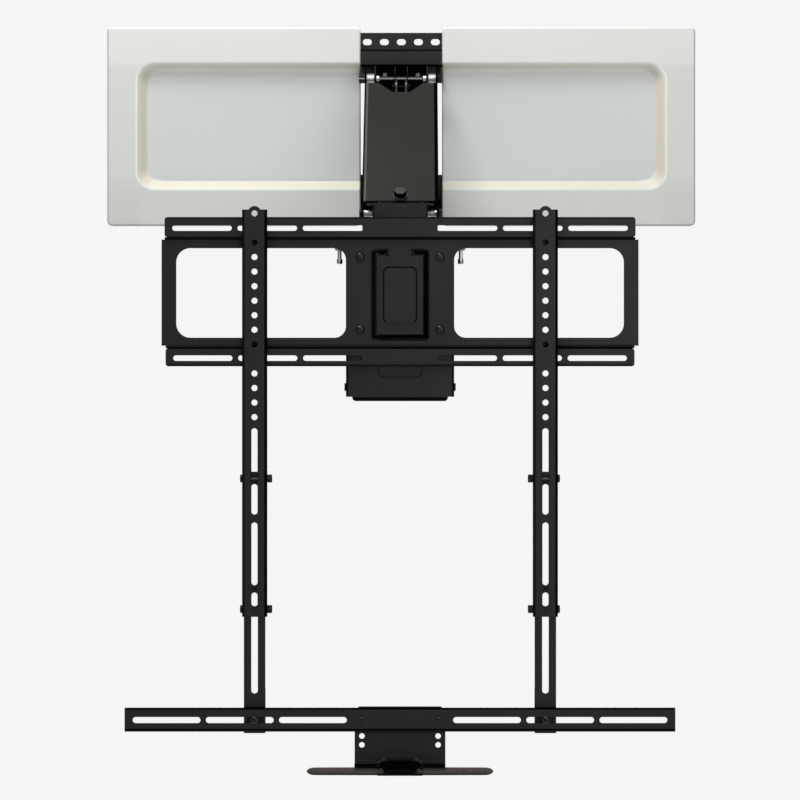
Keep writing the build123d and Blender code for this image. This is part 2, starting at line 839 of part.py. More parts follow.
def swivel_washers():
    """Thrust washers above and below the barrel."""
    centre = (0, swivel_depth)
    ring = disc(centre, swivel_barrel_radius) - disc(centre, swivel_pin_radius)
    upper = swivel_top - lug_height
    lower = upper - washer_wall - barrel_height
    return group([plan_slab(ring, upper - washer_wall, upper), plan_slab(ring, lower - washer_wall, lower)])


def tilt_bracket():
    """Swivelling plate with its barrel, and two flanges that carry the tilt screws."""
    half_width = housing_half_width - sheet - side_gap
    back = bracket_front - bracket_wall
    plate = slab(region(-half_width, half_width, bracket_plate_bottom, bracket_top), back, bracket_front)
    barrel = disc((0, swivel_depth), swivel_barrel_radius)
    barrel += region(-bracket_neck_half_width, bracket_neck_half_width, swivel_depth, back)
    barrel -= disc((0, swivel_depth), swivel_pin_radius + shaft_gap)
    barrel_top = swivel_top - lug_height - washer_wall - face_gap
    plate += plan_slab(barrel, barrel_top - barrel_height + 2 * face_gap, barrel_top)
    centre = (tilt_depth, tilt_height)
    flange = region(tilt_depth - tilt_boss_radius, bracket_front, tilt_height, bracket_flange_top)
    flange = chamfer(flange.vertices().group_by(Axis.Y)[-1].sort_by(Axis.X)[0], bracket_flange_back)
    flange += disc(centre, tilt_boss_radius) - disc(centre, tilt_screw_radius + shaft_gap)
    flange -= disc(centre, tilt_screw_radius + shaft_gap)
    return plate + both_sides(side_slab(flange, half_width - bracket_wall, half_width))


def tilt_screws():
    """Screws at the sides of the housing, on which the head tilts."""
    centre = (tilt_depth, tilt_height)
    screw = side_slab(disc(centre, tilt_screw_radius), tilt_screw_inner, housing_half_width)
    head = side_slab(disc(centre, tilt_head_radius), housing_half_width, housing_half_width + tilt_head)
    head -= side_slab(
        hexagon(centre, button_socket), housing_half_width + tilt_head / 2, housing_half_width + tilt_head)
    return group([both_sides(screw + head)])


def tongue_outline(grow):
    """Outline of the frame's tongue, grown by a margin."""
    return rounded(
        -tongue_half_width - grow, tongue_half_width + grow,
        tongue_bottom - grow, tongue_top + grow, tongue_corner + grow / tongue_gap)


def housing():
    """Folded housing over the swivel, with a shallow pocket and a lip below."""
    section = channel(2 * housing_half_width, housing_front, housing_back, sheet, housing_bend)
    body = plan_slab(section, housing_bottom, housing_top)
    shallow = swivel_depth + housing_shallow_offset
    body -= side_slab(
        region(housing_back, shallow, housing_step, housing_top), -housing_half_width, housing_half_width)
    lip = rounded(
        -housing_lip_half_width, housing_lip_half_width,
        housing_lip_bottom, housing_bottom + housing_lip_corner, housing_lip_corner)
    body += slab(lip, housing_front - sheet, housing_front - sheet / 2)
    pocket = rounded(-pocket_half_width, pocket_half_width, pocket_bottom, pocket_top, pocket_corner)
    body -= slab(pocket, housing_front - pocket_depth, housing_front)
    body -= slab(tongue_outline(tongue_gap), housing_front - sheet, housing_front)
    centre = (tilt_depth, tilt_height)
    body -= side_slab(disc(centre, tilt_screw_radius), -housing_half_width, housing_half_width)
    for side in (-1, 1):
        for height in (frame_bolt_top, frame_bolt_bottom):
            hole = disc((side * frame_bolt_half_spacing, height), frame_bolt_radius)
            body -= slab(hole, housing_front - sheet, housing_front)
    return body


def rail(half_width, low, high, slot_height):
    """Face of a hook rail with its row of long slots."""
    face = rounded(-half_width, half_width, low, high, rail_corner)
    row_end = half_width - rail_slot_margin
    slots = slot_row(rail_slot_start, row_end, rail_slot_bridge, rail_slots, rail_slot_width)
    face -= Pos(0, slot_height) * slots
    return slab(face, rail_front - sheet, rail_front)


def joggle(half_width, rail_edge, frame_edge):
    """Slanted step between the frame's plane and a rail's plane."""
    profile = make_face(Polyline(
        (rail_front, rail_edge), (frame_front, frame_edge),
        (frame_front - sheet, frame_edge), (rail_front - sheet, rail_edge), close=True))
    return side_slab(profile, -half_width, half_width)


def tongue():
    """Plate in the middle of the frame, whose edges slope back on all sides."""
    front = Plane.XZ.offset(frame_front) * tongue_outline(0)
    back = Plane.XZ.offset(frame_front - tongue_skirt_depth) * tongue_outline(tongue_skirt_width)
    solid = loft([back, front], ruled=True)
    plate = solid - Pos(0, sheet, 0) * solid
    neck = tongue_neck_half_width
    tip = tongue_top - tongue_notch_depth
    notch = make_face(Polyline(
        (neck, tongue_top), (neck, tongue_top + tongue_gap), (neck + tongue_gap, tongue_top),
        (neck, tip), (tongue_notch_half_width, tip), close=True))
    return plate - both_sides(slab(notch, frame_front - tongue_skirt_depth, frame_front))


def head_frame():
    """One pressed sheet: window frame, two stepped hook rails and a tongue in the middle.

    The top rail's slots are round at their outer ends and nearly square at their inner ends.
    """
    face = region(-frame_half_width, frame_half_width, frame_bottom, frame_top)
    window = region(frame_window_inner, frame_window_outer, frame_window_bottom, frame_window_top)
    columns = window.vertices().group_by(Axis.X)
    window = fillet(columns[0], frame_window_inner_corner)
    window = fillet(window.vertices().group_by(Axis.X)[-1], frame_window_outer_corner)
    face -= window + mirror(window, about=Plane.YZ)
    neck = region(-tongue_neck_half_width, tongue_neck_half_width, tongue_top, tongue_top + tongue_gap)
    face -= tongue_outline(tongue_gap) - neck
    for side in (-1, 1):
        for height in (frame_bolt_top, frame_bolt_bottom):
            face -= disc((side * frame_bolt_half_spacing, height), frame_bolt_radius)
    body = slab(face, housing_front, frame_front) + tongue()
    emboss = rounded(-emboss_half_width, emboss_half_width, emboss_bottom, emboss_top, emboss_corner)
    body += slab(emboss, frame_front, frame_front + emboss_rise)
    body += rail(top_rail_half_width, top_rail_bottom, top_rail_top, top_rail_slot_height)
    body += rail(bottom_rail_half_width, bottom_rail_bottom, bottom_rail_top, bottom_rail_slot_height)
    body += joggle(top_rail_half_width, top_rail_bottom, frame_top)
    body += joggle(bottom_rail_half_width, bottom_rail_top, frame_bottom)
    slot_half = rail_slot_width / 2
    inner_end = rounded(
        rail_slot_start, rail_slot_start + rail_slot_width,
        top_rail_slot_height - slot_half, top_rail_slot_height + slot_half, rail_slot_corner)
    body -= both_sides(slab(inner_end, rail_front - sheet, rail_front))
    flange = region(frame_half_width - sheet, frame_half_width, frame_bottom, frame_top)
    return body + both_sides(slab(flange, frame_front - frame_flange_depth, frame_front))


def frame_bolts():
    """Four button-head bolts that hold the head frame to the housing."""
    bolts = []
    for side in (-1, 1):
        for height in (frame_bolt_top, frame_bolt_bottom):
            place = (side * frame_bolt_half_spacing, height)
            bolts.append(button_bolt(
                place, frame_front, housing_front - sheet, frame_bolt_radius, button_radius, button_height))
    return group(bolts)


def level_tabs():
    """Two small tabs on the back of the head frame."""
    centre = level_pin_half_spacing + level_tab_centre_shift
    left = centre - level_tab_half_width
    right = centre + level_tab_half_width
    tab = rounded(left, right, level_tab_bottom, level_tab_top, level_tab_corner)
    tab = slab(tab, swivel_depth - level_pin_offset, housing_front)
    place = (level_pin_half_spacing, swivel_depth)
    tab -= plan_slab(disc(place, level_shaft_radius), level_tab_bottom, level_tab_top)
    return group([both_sides(tab)])


def level_pins():
    """Two levelling pins that hang in the tabs."""
    place = (level_pin_half_spacing, swivel_depth)
    pin = plan_slab(disc(place, level_shaft_radius), level_shaft_bottom, level_tab_top)
    head = plan_slab(disc(place, level_head_radius), level_head_bottom, level_shaft_bottom)
    return group([both_sides(pin + chamfer(head.edges().group_by(Axis.Z)[0], level_head_chamfer))])


def strap(side):
    """Upright channel with mounting holes and slots, and a hook over the top rail."""
    centre = side * strap_centre
    low = strap_front - strap_depth
    section = Pos(centre, 0) * channel(strap_width, strap_front, low, strap_wall, strap_bend)
    body = plan_slab(section, strap_bottom, strap_shoulder)
    ear = disc((centre, strap_ear_top - strap_ear_radius), strap_ear_radius)
    ear += region(
        centre - strap_ear_radius, centre + strap_ear_radius,
        strap_shoulder - strap_wall, strap_ear_top - strap_ear_radius)
    body += slab(ear, strap_front - strap_wall, strap_front)
    holes = Sketch()
    for number in strap_hole_numbers:
        holes += disc((centre, strap_hole_first - number * strap_hole_pitch), strap_hole_radius)
    for top, bottom in strap_slots:
        holes += upright_slot(centre, top, bottom, 2 * strap_hole_radius)
    body -= slab(holes, strap_front - strap_wall, strap_front)
    outer = strap_width / 2
    for height in clamp_heights:
        body -= side_slab(disc((clamp_depth, height), clamp_bolt_radius), centre - outer, centre + outer)
    inner = outer - strap_wall
    bridge_back = rail_front - sheet - slide_gap - hook_wall
    bridge = region(centre - inner, centre + inner, top_rail_top, top_rail_top + hook_thickness)
    bridge -= disc((centre, strap_hole_first), strap_hole_radius)
    body += slab(bridge, bridge_back, strap_front - strap_wall)
    leg = region(centre - inner, centre + inner, top_rail_top - hook_drop, top_rail_top)
    body += slab(leg, bridge_back, bridge_back + hook_wall)
    tab_back = lock_depth - lock_screw_radius - lock_tab_edge
    tab = region(centre - inner, centre + inner, tab_back, strap_front - strap_wall)
    tab -= disc((side * (strap_centre + lock_screw_shift), lock_depth), lock_screw_radius)
    return body + plan_slab(tab, lock_tab_top - lock_tab_wall, lock_tab_top)


def strap_lock_screws():
    """Upright screws under the bottom rail that stop the straps lifting off."""
    place = (strap_centre + lock_screw_shift, lock_depth)
    seat = lock_tab_top - lock_tab_wall
    screw = plan_slab(disc(place, lock_screw_radius), seat, bottom_rail_bottom)
    head = plan_slab(disc(place, lock_head_radius), seat - lock_head, seat)
    return group([both_sides(screw + head)])


def clamp_bolts():
    """Cross bolts that hold the extensions in the straps."""
    bolts = []
    outer = strap_centre + strap_width / 2
    inner = strap_centre - strap_width / 2
    for height in clamp_heights:
        place = (clamp_depth, height)
        bolt = side_slab(disc(place, clamp_bolt_radius), inner - clamp_knob, outer)
        head = side_slab(disc(place, clamp_head_radius), outer, outer + clamp_head)
        bolts.append(both_sides(bolt + chamfer(head.edges().group_by(Axis.X)[-1], clamp_head_chamfer)))
    return group(bolts)


def clamp_knobs():
    """Round nuts of the clamp bolts, on the inner side of each strap."""
    knobs = []
    inner = strap_centre - strap_width / 2
    for height in clamp_heights:
        place = (clamp_depth, height)
        ring = disc(place, clamp_head_radius) - disc(place, clamp_bolt_radius)
        knobs.append(both_sides(side_slab(ring, inner - clamp_knob, inner)))
    return group(knobs)


def extension(side):
    """Sliding channel inside a strap, with long slots in its face and its flanges."""
    centre = side * strap_centre
    width = strap_width - 2 * strap_wall - 2 * slide_gap
    low = extension_front - extension_depth
    section = Pos(centre, 0) * channel(width, extension_front, low, extension_wall, extension_bend)
    body = plan_slab(section, extension_bottom, extension_top)
    cuts = Sketch()
    for top, bottom in extension_slots:
        cuts += upright_slot(centre, top, bottom, extension_slot_width)
    cuts += disc((centre, bar_slot_height), bar_bolt_radius)
    body -= slab(cuts, extension_front - extension_wall, extension_front)
    slot_half = clamp_bolt_radius + slide_gap
    for height in clamp_heights:
        slot = upright_slot(clamp_depth, height + slot_half, height - bar_travel - slot_half, 2 * slot_half)
        body -= side_slab(slot, centre - width / 2, centre + width / 2)
    return body


def soundbar_bar():
    """Shallow channel across the extensions, with a row of long slots on each side."""
    back = extension_front
    height = bar_top - bar_bottom
    plane_face = channel(height, bar_front, back, bar_wall, bar_bend)
    middle = (bar_top + bar_bottom) / 2
    plane = Plane(origin=(-bar_half_width, 0, middle), x_dir=(0, 0, -1), z_dir=(1, 0, 0))
    body = extrude(plane * mirror(plane_face, about=Plane.XZ), amount=2 * bar_half_width)
    row_end = bar_half_width - bar_slot_margin
    slots = slot_row(bar_slot_start, row_end, bar_slot_bridge, bar_slots, bar_slot_width)
    cuts = Pos(0, bar_slot_height) * slots
    for side in (-1, 1):
        cuts += disc((side * handle_bolt_half_spacing, handle_bolt_height), bar_bolt_radius)
    return body - slab(cuts, back, bar_front)


def bar_bolts():
    """Bolts that hold the bar to the extensions."""
    bolts = []
    tail = extension_front - extension_wall - bar_nut
    for side in (-1, 1):
        place = (side * strap_centre, bar_slot_height)
        bolts.append(button_bolt(
            place, bar_front, tail, bar_bolt_radius, bar_bolt_head_radius, bar_bolt_head))
    return group(bolts)


def bar_nuts():
    """Nuts of the bar bolts, inside the extensions."""
    nuts = []
    seat = extension_front - extension_wall
    for side in (-1, 1):
        place = (side * strap_centre, bar_slot_height)
        ring = hexagon(place, bar_nut_across_flats) - disc(place, bar_bolt_radius)
        nuts.append(slab(ring, seat - bar_nut, seat))
    return group(nuts)


def arch_path(drop):
    """Lower edge of the handle bracket: level at the sides, raised in the middle, moved down by a drop."""
    side = handle_fold_height - drop
    middle = arch_top - drop
    return [
        (-handle_plate_half_width, side), (-arch_mouth_half_width, side), (-arch_half_width, middle),
        (arch_half_width, middle), (arch_mouth_half_width, side), (handle_plate_half_width, side)]


def handle_bracket():
    """Plate behind the bar with spare holes, and a lower edge folded forwards over an arch."""
    front = extension_front
    corner = handle_plate_top - (handle_plate_half_width - handle_plate_top_half_width)
    top_edge = [
        (handle_plate_half_width, corner), (handle_plate_top_half_width, handle_plate_top),
        (-handle_plate_top_half_width, handle_plate_top), (-handle_plate_half_width, corner)]
    face = make_face(Polyline(*arch_path(bar_wall), *top_edge, close=True))
    for side in (-1, 1):
        x = side * handle_bolt_half_spacing
        face -= disc((x, handle_bolt_height), bar_bolt_radius)
        for number in range(handle_holes):
            face -= disc((x, handle_hole_first - number * handle_hole_pitch), handle_hole_radius)
    fold = make_face(Polyline(*arch_path(0), *reversed(arch_path(bar_wall)), close=True))
    hem_top = handle_fold_height - bar_wall
    hem = region(arch_mouth_half_width, handle_plate_half_width, handle_hem_bottom, hem_top)
    body = slab(face, front - bar_wall, front) + slab(fold, front, front + handle_fold_depth)
    return body + both_sides(slab(hem, front + handle_fold_depth - bar_wall, front + handle_fold_depth))


def bracket_bolts():
    """Bolts that hold the handle bracket to the bar."""
    bolts = []
    nut_face = extension_front - bar_wall
    tail = nut_face - bar_nut
    for side in (-1, 1):
        place = (side * handle_bolt_half_spacing, handle_bolt_height)
        bolt = button_bolt(
            place, bar_front, tail, bar_bolt_radius, bracket_bolt_head_radius, bracket_bolt_head)
        bolts.append(bolt + slab(hexagon(place, bar_nut_across_flats), tail, nut_face))
    return group(bolts)


def handle_core():
    """Steel core of the handle: a rod and hub in a trough, on a plate behind the bracket."""
    plate_front = extension_front - bar_wall
    plate_back = plate_front - handle_back_wall
    rod_end = grip_end - grip_cap_wall
    core = side_slab(disc(handle_place, handle_core_radius), -rod_end, rod_end)
    core += side_slab(disc(handle_place, handle_hub_radius), -handle_hub_half_width, handle_hub_half_width)
    floor = handle_height - handle_hub_radius
    bottom = floor - handle_trough_wall
    saddle = region(-handle_hub_half_width, handle_hub_half_width, floor, handle_height)
    core += slab(saddle, handle_place[0] - handle_hub_radius, handle_place[0] + handle_hub_radius)
    lip_back = handle_place[0] + grip_radius + handle_lip_gap
    lip_front = lip_back + handle_trough_wall
    trough = region(-handle_hub_half_width, handle_hub_half_width, bottom, floor)
    core += slab(trough, plate_back, lip_front)
    lip = region(-handle_lip_half_width, handle_lip_half_width, bottom, bottom + handle_lip_height)
    core += slab(lip, lip_back, lip_front)
    back = region(-handle_back_half_width, handle_back_half_width, bottom, arch_top)
    back += region(-handle_tongue_half_width, handle_tongue_half_width, arch_top, handle_tongue_top)
    return core + slab(back, plate_back, plate_front)


def grip(side):
    """Tapered foam grip over one half of the core, with a long nose inwards and a round outer end."""
    depth, height = handle_place
    nose_end = grip_inner + grip_nose_length
    round_start = grip_end - grip_end_round
    outline = Line((grip_inner, 0), (grip_end, 0))
    outline += EllipticalCenterArc((nose_end, 0), grip_nose_length, grip_radius, start_angle=90)
    outline += Line((nose_end, grip_radius), (round_start, grip_outer_radius))
    outline += EllipticalCenterArc((round_start, 0), grip_end_round, grip_outer_radius, start_angle=0)
    body = Pos(0, -depth, height) * revolve(make_face(outline), Axis.X)
    body -= side_slab(disc(handle_place, handle_core_radius), grip_inner, grip_end - grip_cap_wall)
    return body if side > 0 else mirror(body, about=Plane.YZ)


arm_inner = arm_half_width - arm_wall
upper_seat = arm_half_width + face_gap
lower_wall_seat = ear_half_width
lower_head_seat = carrier_half_width
lower_ring_inner = lower_half_width + face_gap

upper_wall_tail = upper_seat + nut_length
upper_head_tail = upper_seat + low_nut_length
lower_wall_tail = lower_wall_seat + low_nut_length
lower_head_tail = lower_head_seat + low_nut_length
neck_end = carrier_half_width + bushing_neck
ear_inner = ear_half_width - ear_wall

nodes = {
    "wall_plate": wall_plate(),
    "pivot_channel": pivot_channel(),
    "cross_channel": cross_channel(),
    "spring_anchor": spring_anchor(),
    "anchor_rivets": anchor_rivets(),
    "anchor_pin": anchor_pin(),
    "cover_left": cover(-1),
    "cover_right": cover(1),
    "upper_wall_bolt": long_bolt(upper_wall, upper_seat, upper_wall_tail, collar_inner),
    "upper_wall_nut": cross_nut(upper_wall, upper_seat, nut_length),
    "upper_wall_bushings": group([
        ring_pair(upper_wall, ear_half_width, arm_inner - face_gap, bushing_radius)]),
    "upper_wall_collars": group([ring_pair(upper_wall, collar_inner, ear_inner, collar_radius)]),
    "lower_wall_bolt": cross_bolt(lower_wall, lower_wall_seat, lower_wall_tail),
    "lower_wall_nut": cross_nut(lower_wall, lower_wall_seat, low_nut_length),
    "lower_wall_spacers": group([ring_pair(lower_wall, lower_ring_inner, ear_inner, spacer_radius)]),
    "upper_arm": upper_arm(),
    "arm_hex_bolt": arm_hex_bolt(),
    "arm_washer": arm_washer(),
    "strut_block": strut_block(),
    "strut_block_pin": strut_block_pin(),
    "lower_arm": lower_arm(),
    "strut_cylinder": strut_cylinder(),
    "strut_rod": strut_rod(),
    "strut_fork": strut_fork(),
    "carrier": carrier(),
    "upper_head_bolt": cross_bolt(upper_head, upper_seat, upper_head_tail),
    "upper_head_nut": cross_nut(upper_head, upper_seat, low_nut_length),
    "upper_head_bushings": group([
        ring_pair(upper_head, neck_end, arm_inner - face_gap, head_bushing_radius)
        + ring_pair(upper_head, carrier_half_width, neck_end, bushing_neck_radius)]),
    "lower_head_bolt": cross_bolt(lower_head, lower_head_seat, lower_head_tail),
    "lower_head_nut": cross_nut(lower_head, lower_head_seat, low_nut_length),
    "lower_head_spacers": group([
        ring_pair(lower_head, lower_ring_inner, carrier_half_width - carrier_wall, spacer_radius)]),
    "swivel_pin": swivel_pin(),
    "swivel_clip": swivel_clip(),
    "swivel_washers": swivel_washers(),
    "tilt_bracket": tilt_bracket(),
    "tilt_screws": tilt_screws(),
    "housing": housing(),
    "head_frame": head_frame(),
    "frame_bolts": frame_bolts(),
    "level_tabs": level_tabs(),
    "level_pins": level_pins(),
    "strap_left": strap(-1),
    "strap_right": strap(1),
    "strap_lock_screws": strap_lock_screws(),
    "clamp_bolts": clamp_bolts(),
    "clamp_knobs": clamp_knobs(),
    "extension_left": extension(-1),
    "extension_right": extension(1),
    "soundbar_bar": soundbar_bar(),
    "bar_bolts": bar_bolts(),
    "bar_nuts": bar_nuts(),
    "handle_bracket": handle_bracket(),
    "bracket_bolts": bracket_bolts(),
    "handle_core": handle_core(),
    "grip_left": grip(-1),
    "grip_right": grip(1),
}

os.makedirs("parts", exist_ok=True)
for name, piece in nodes.items():
    export_step(piece, f"parts/{name}.step")
print(len(nodes), "nodes written")
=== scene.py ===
"""Looks of a pull-down television mount, built around its packed construction.

Lengths are in metres, in the construction's own frame: +X to the viewer's right, +Y into the
wall and +Z up. The wall is the plane Y = 0. Creases, steps of turned profiles and the edges of
pressed pieces are in millimetres.
"""
import logging
import math
from dataclasses import dataclass
from enum import Enum
from functools import cache
from typing import Sequence

import bmesh
import bpy
import numpy as np
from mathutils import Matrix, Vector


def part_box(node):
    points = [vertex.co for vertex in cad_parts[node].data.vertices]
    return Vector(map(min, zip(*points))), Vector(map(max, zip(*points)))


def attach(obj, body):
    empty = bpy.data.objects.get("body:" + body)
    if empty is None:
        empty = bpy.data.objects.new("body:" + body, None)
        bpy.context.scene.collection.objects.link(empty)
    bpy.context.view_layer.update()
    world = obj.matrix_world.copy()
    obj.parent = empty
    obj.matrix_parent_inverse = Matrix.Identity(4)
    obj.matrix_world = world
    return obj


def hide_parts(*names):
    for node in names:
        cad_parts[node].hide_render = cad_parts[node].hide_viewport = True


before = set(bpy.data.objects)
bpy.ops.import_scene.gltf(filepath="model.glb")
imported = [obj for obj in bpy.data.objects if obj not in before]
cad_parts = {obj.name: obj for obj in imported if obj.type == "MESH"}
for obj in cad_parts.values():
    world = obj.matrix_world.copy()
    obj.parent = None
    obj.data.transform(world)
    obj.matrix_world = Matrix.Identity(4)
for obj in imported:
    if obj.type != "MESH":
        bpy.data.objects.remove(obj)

log = logging.getLogger("mount")
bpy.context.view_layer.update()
Colour = tuple[float, float, float]
Point = tuple[float, float, float]
Material = bpy.types.Material
Piece = bpy.types.Object
Rings = list[tuple[float, ...]]
Steps = tuple[tuple[float, ...], ...]
Socket = bpy.types.NodeSocket
MM = 0.001
AWAY = 1000.0
DOUBLES = 2e-6
SIDES = {-1: "left", 1: "right"}
# Colours of painted lines: full painted shade, a softer painted shade that dims a highlight, and a fold's
# painted highlight.
SHADE: Colour = (0.0015, 0.0015, 0.0015)
SOFT_SHADE: Colour = (0.0125, 0.013, 0.0127)
FOLD_HIGHLIGHT: Colour = (0.034, 0.034, 0.034)
BLACK: tuple[Colour, Colour] = ((0.0084, 0.0089, 0.0087), (0.0118, 0.0125, 0.0122))


class Axis(Enum):
    """Direction that a turned piece runs along."""

    ACROSS = 0
    DEPTH = 1
    UPRIGHT = 2


class Slot(str, Enum):
    """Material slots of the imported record."""

    BLACK_STEEL = "black_steel"
    ARM_STEEL = "arm_steel"
    WHITE_COVER = "white_cover"
    BRIGHT_STEEL = "bright_steel"
    BLACK_FASTENER = "black_fastener"
    STRUT_PAINT = "strut_paint"
    GRIP_FOAM = "grip_foam"


@dataclass(frozen=True)
class Crease:
    """Painted shade along a fold, or a painted highlight where its colour is light: the outline of a
    rounded rectangle in X and Z.

    Its lengths are in millimetres. A straight fold is one side of a rectangle whose other sides
    lie off the piece. The line may leave a gap in the middle of its upper or lower side, given by
    half the gap's width, and its painted shade may be fainter along its left side, which is lit
    from the left. The core is the share of its width in which it is at full strength.
    """

    low: tuple[float, float]
    high: tuple[float, float]
    width: float
    strength: float = 1.0
    corner: float = 0.0
    upper_gap: float = 0.0
    lower_gap: float = 0.0
    left_share: float = 1.0
    colour: Colour = SHADE
    core: float = 0.7

    @classmethod
    def level(cls, height: float, *style: float, **more: object) -> "Crease":
        """Straight line along X at a height, of a width and a strength."""
        return cls((-AWAY, -AWAY), (AWAY, height), *style, **more)

    @classmethod
    def right_of(cls, place: float, *style: float, **more: object) -> "Crease":
        """Upright line whose rectangle lies right of it."""
        return cls((place, -AWAY), (AWAY, AWAY), *style, **more)

    @classmethod
    def left_of(cls, place: float, *style: float, **more: object) -> "Crease":
        """Upright line whose rectangle lies left of it."""
        return cls((-AWAY, -AWAY), (place, AWAY), *style, **more)

    @classmethod
    def about(cls, x: float, half: float, low: float, high: float, *style: float,
              **more: object) -> "Crease":
        """Rectangle on both sides of an upright line, between two heights."""
        return cls((x - half, low), (x + half, high), *style, **more)

    @classmethod
    def ring(cls, x: float, z: float, radius: float, *style: float) -> "Crease":
        """Circle of painted shade round a fastener."""
        return cls.about(x, radius, z - radius, z + radius, *style, corner=radius)

    @classmethod
    def strap(cls, x: float) -> tuple["Crease", ...]:
        """Painted shade along a strap's bends, and two painted windows: a dark patch with a painted
        highlight line for its upper clamp bolt, and a fainter dark patch where its extension shows.
        """
        return (
            cls.right_of(x - 15.9, 2.6, 0.75), cls.left_of(x + 15.5, 2.3),
            cls.about(x, 2.2, -504.0, -495.5, 3.4, 0.5), cls.about(x, 3.6, -506.4, -492.8, 0.9, 0.7),
            # A painted highlight line stands for the clamp bolt inside the painted window.
            cls.about(x, 3.4, -500.9, -500.3, 0.9, colour=(0.11, 0.11, 0.11)),
            cls.about(x, 1.8, -653.8, -650.8, 2.6, 0.45))


class NodeSheet:
    """A node tree, filled by short calls."""

    def __init__(self, tree: bpy.types.NodeTree, coordinates: str = "Object") -> None:
        """Takes over a tree.

        Args:
            tree: The tree.
            coordinates: Coordinates that its patterns run on.
        """
        self.tree = tree
        self.place = self.add("ShaderNodeTexCoord").outputs[coordinates]

    def add(self, kind: str, **inputs: object) -> bpy.types.Node:
        """Adds a node and sets or links its inputs by name.

        Args:
            kind: Type name of the node.
            **inputs: Values or output sockets, with underscores for spaces.

        Returns:
            The new node.
        """
        node = self.tree.nodes.new(kind)
        for key, value in inputs.items():
            self.put(node.inputs[key.replace("_", " ")], value)
        return node

    def put(self, socket: Socket, value: object) -> None:
        """Links an output socket to an input, or sets the input's value.

        Args:
            socket: The input.
            value: Output socket or plain value.
        """
        if isinstance(value, Socket):
            self.tree.links.new(value, socket)
        else:
            socket.default_value = value

    def part(self, axis: Axis) -> Socket:
        """One of the three coordinates."""
        return self.add("ShaderNodeSeparateXYZ", Vector=self.place).outputs[axis.value]

    def noise(self, scale: float, detail: float = 4.0, rough: float = 0.55,
              stretch: Sequence[float] = (1.0, 1.0, 1.0)) -> Socket:
        """Fractal noise on the coordinates.

        Args:
            scale: Cells per metre.
            detail: Octaves.
            rough: Weight of the finer octaves.
            stretch: Scale along each axis before the noise.

        Returns:
            The noise's factor.
        """
        mapped = self.add("ShaderNodeMapping", Vector=self.place, Scale=stretch)
        made = self.add(
            "ShaderNodeTexNoise", Vector=mapped.outputs[0], Scale=scale, Detail=detail, Roughness=rough)
        return made.outputs["Fac"]

    def span(self, factor: Socket, low: float, high: float, start: float = 0.3, end: float = 0.7) -> Socket:
        """Maps a factor in a straight line, and holds it at both ends.

        Args:
            factor: The factor.
            low: Result at the start.
            high: Result at the end.
            start: Factor that gives the low result.
            end: Factor that gives the high result.

        Returns:
            The mapped factor.
        """
        made = self.add("ShaderNodeMapRange", Value=factor)
        for index, value in enumerate((start, end, low, high), 1):
            made.inputs[index].default_value = value
        return made.outputs[0]

    def blend(self, factor: Socket, first: object, second: Colour) -> Socket:
        """Mixes two colours.

        Args:
            factor: Share of the second colour.
            first: Colour or colour socket.
            second: Colour.

        Returns:
            The mixed colour.
        """
        made = self.tree.nodes.new("ShaderNodeMix")
        made.data_type = "RGBA"
        colours = [socket for socket in made.inputs if socket.type == "RGBA"]
        self.put(made.inputs[0], factor)
        self.put(colours[0], first if isinstance(first, Socket) else (*first, 1.0))
        self.put(colours[1], (*second, 1.0))
        return next(socket for socket in made.outputs if socket.type == "RGBA")

    def drift(self, noise: Socket, first: Colour, second: Colour, *ends: float) -> Socket:
        """Colour that drifts between two with a noise."""
        return self.blend(self.span(noise, 0.0, 1.0, *ends), first, second)

    def math(self, operation: str, *values: object) -> Socket:
        """Result of one sum.

        Args:
            operation: Name of the sum.
            *values: One or two values or sockets.

        Returns:
            The result.
        """
        made = self.tree.nodes.new("ShaderNodeMath")
        made.operation = operation
        for socket, value in zip(made.inputs, values):
            self.put(socket, value)
        return made.outputs[0]

    def shades(self, lines: Sequence[Crease]) -> list[tuple[Socket, Colour]]:
        """Share and colour of each crease's painted shade or painted highlight."""
        x, z = (self.math("DIVIDE", self.part(axis), MM) for axis in (Axis.ACROSS, Axis.UPRIGHT))
        return [(self.crease(line, x, z), line.colour) for line in lines]

    def crease(self, line: Crease, x: Socket, z: Socket) -> Socket:
        """Share of one crease's painted shade, or painted highlight where its colour is light.

        The signed distance from the rounded rectangle is the length of the overshoot beyond its
        inner box, less its corner. Darkness is full in the core and none past the width.

        Args:
            line: The crease.
            x: Coordinate across, in millimetres.
            z: Coordinate upwards, in millimetres.

        Returns:
            Factor from zero to one.
        """
        over, away = [], []
        for socket, low, high in zip((x, z), line.low, line.high):
            away.append(self.math("ABSOLUTE", self.math("SUBTRACT", socket, (low + high) / 2)))
            over.append(self.math("SUBTRACT", away[-1], (high - low) / 2 - line.corner))
        squares = [self.math("POWER", self.math("MAXIMUM", part, 0.0), 2.0) for part in over]
        reach = self.math("SQRT", self.math("ADD", *squares))
        inside = self.math("MINIMUM", self.math("MAXIMUM", *over), 0.0)
        distance = self.math("SUBTRACT", self.math("ADD", reach, inside), line.corner)
        away_from_line = self.math("ABSOLUTE", distance)
        dark = self.span(away_from_line, line.strength, 0.0, line.core * line.width, line.width)
        band = line.corner + line.width
        sides = (("GREATER_THAN", line.high[1] - band, line.upper_gap),
                 ("LESS_THAN", line.low[1] + band, line.lower_gap))
        losses = [self.math("MULTIPLY", self.math(beyond, z, height), self.math("LESS_THAN", away[0], gap))
                  for beyond, height, gap in sides if gap]
        if line.left_share < 1.0:
            left = self.math("LESS_THAN", x, line.low[0] + band)
            losses.append(self.math("MULTIPLY", left, 1.0 - line.left_share))
        for loss in losses:
            dark = self.math("MULTIPLY", dark, self.math("SUBTRACT", 1.0, loss))
        return dark


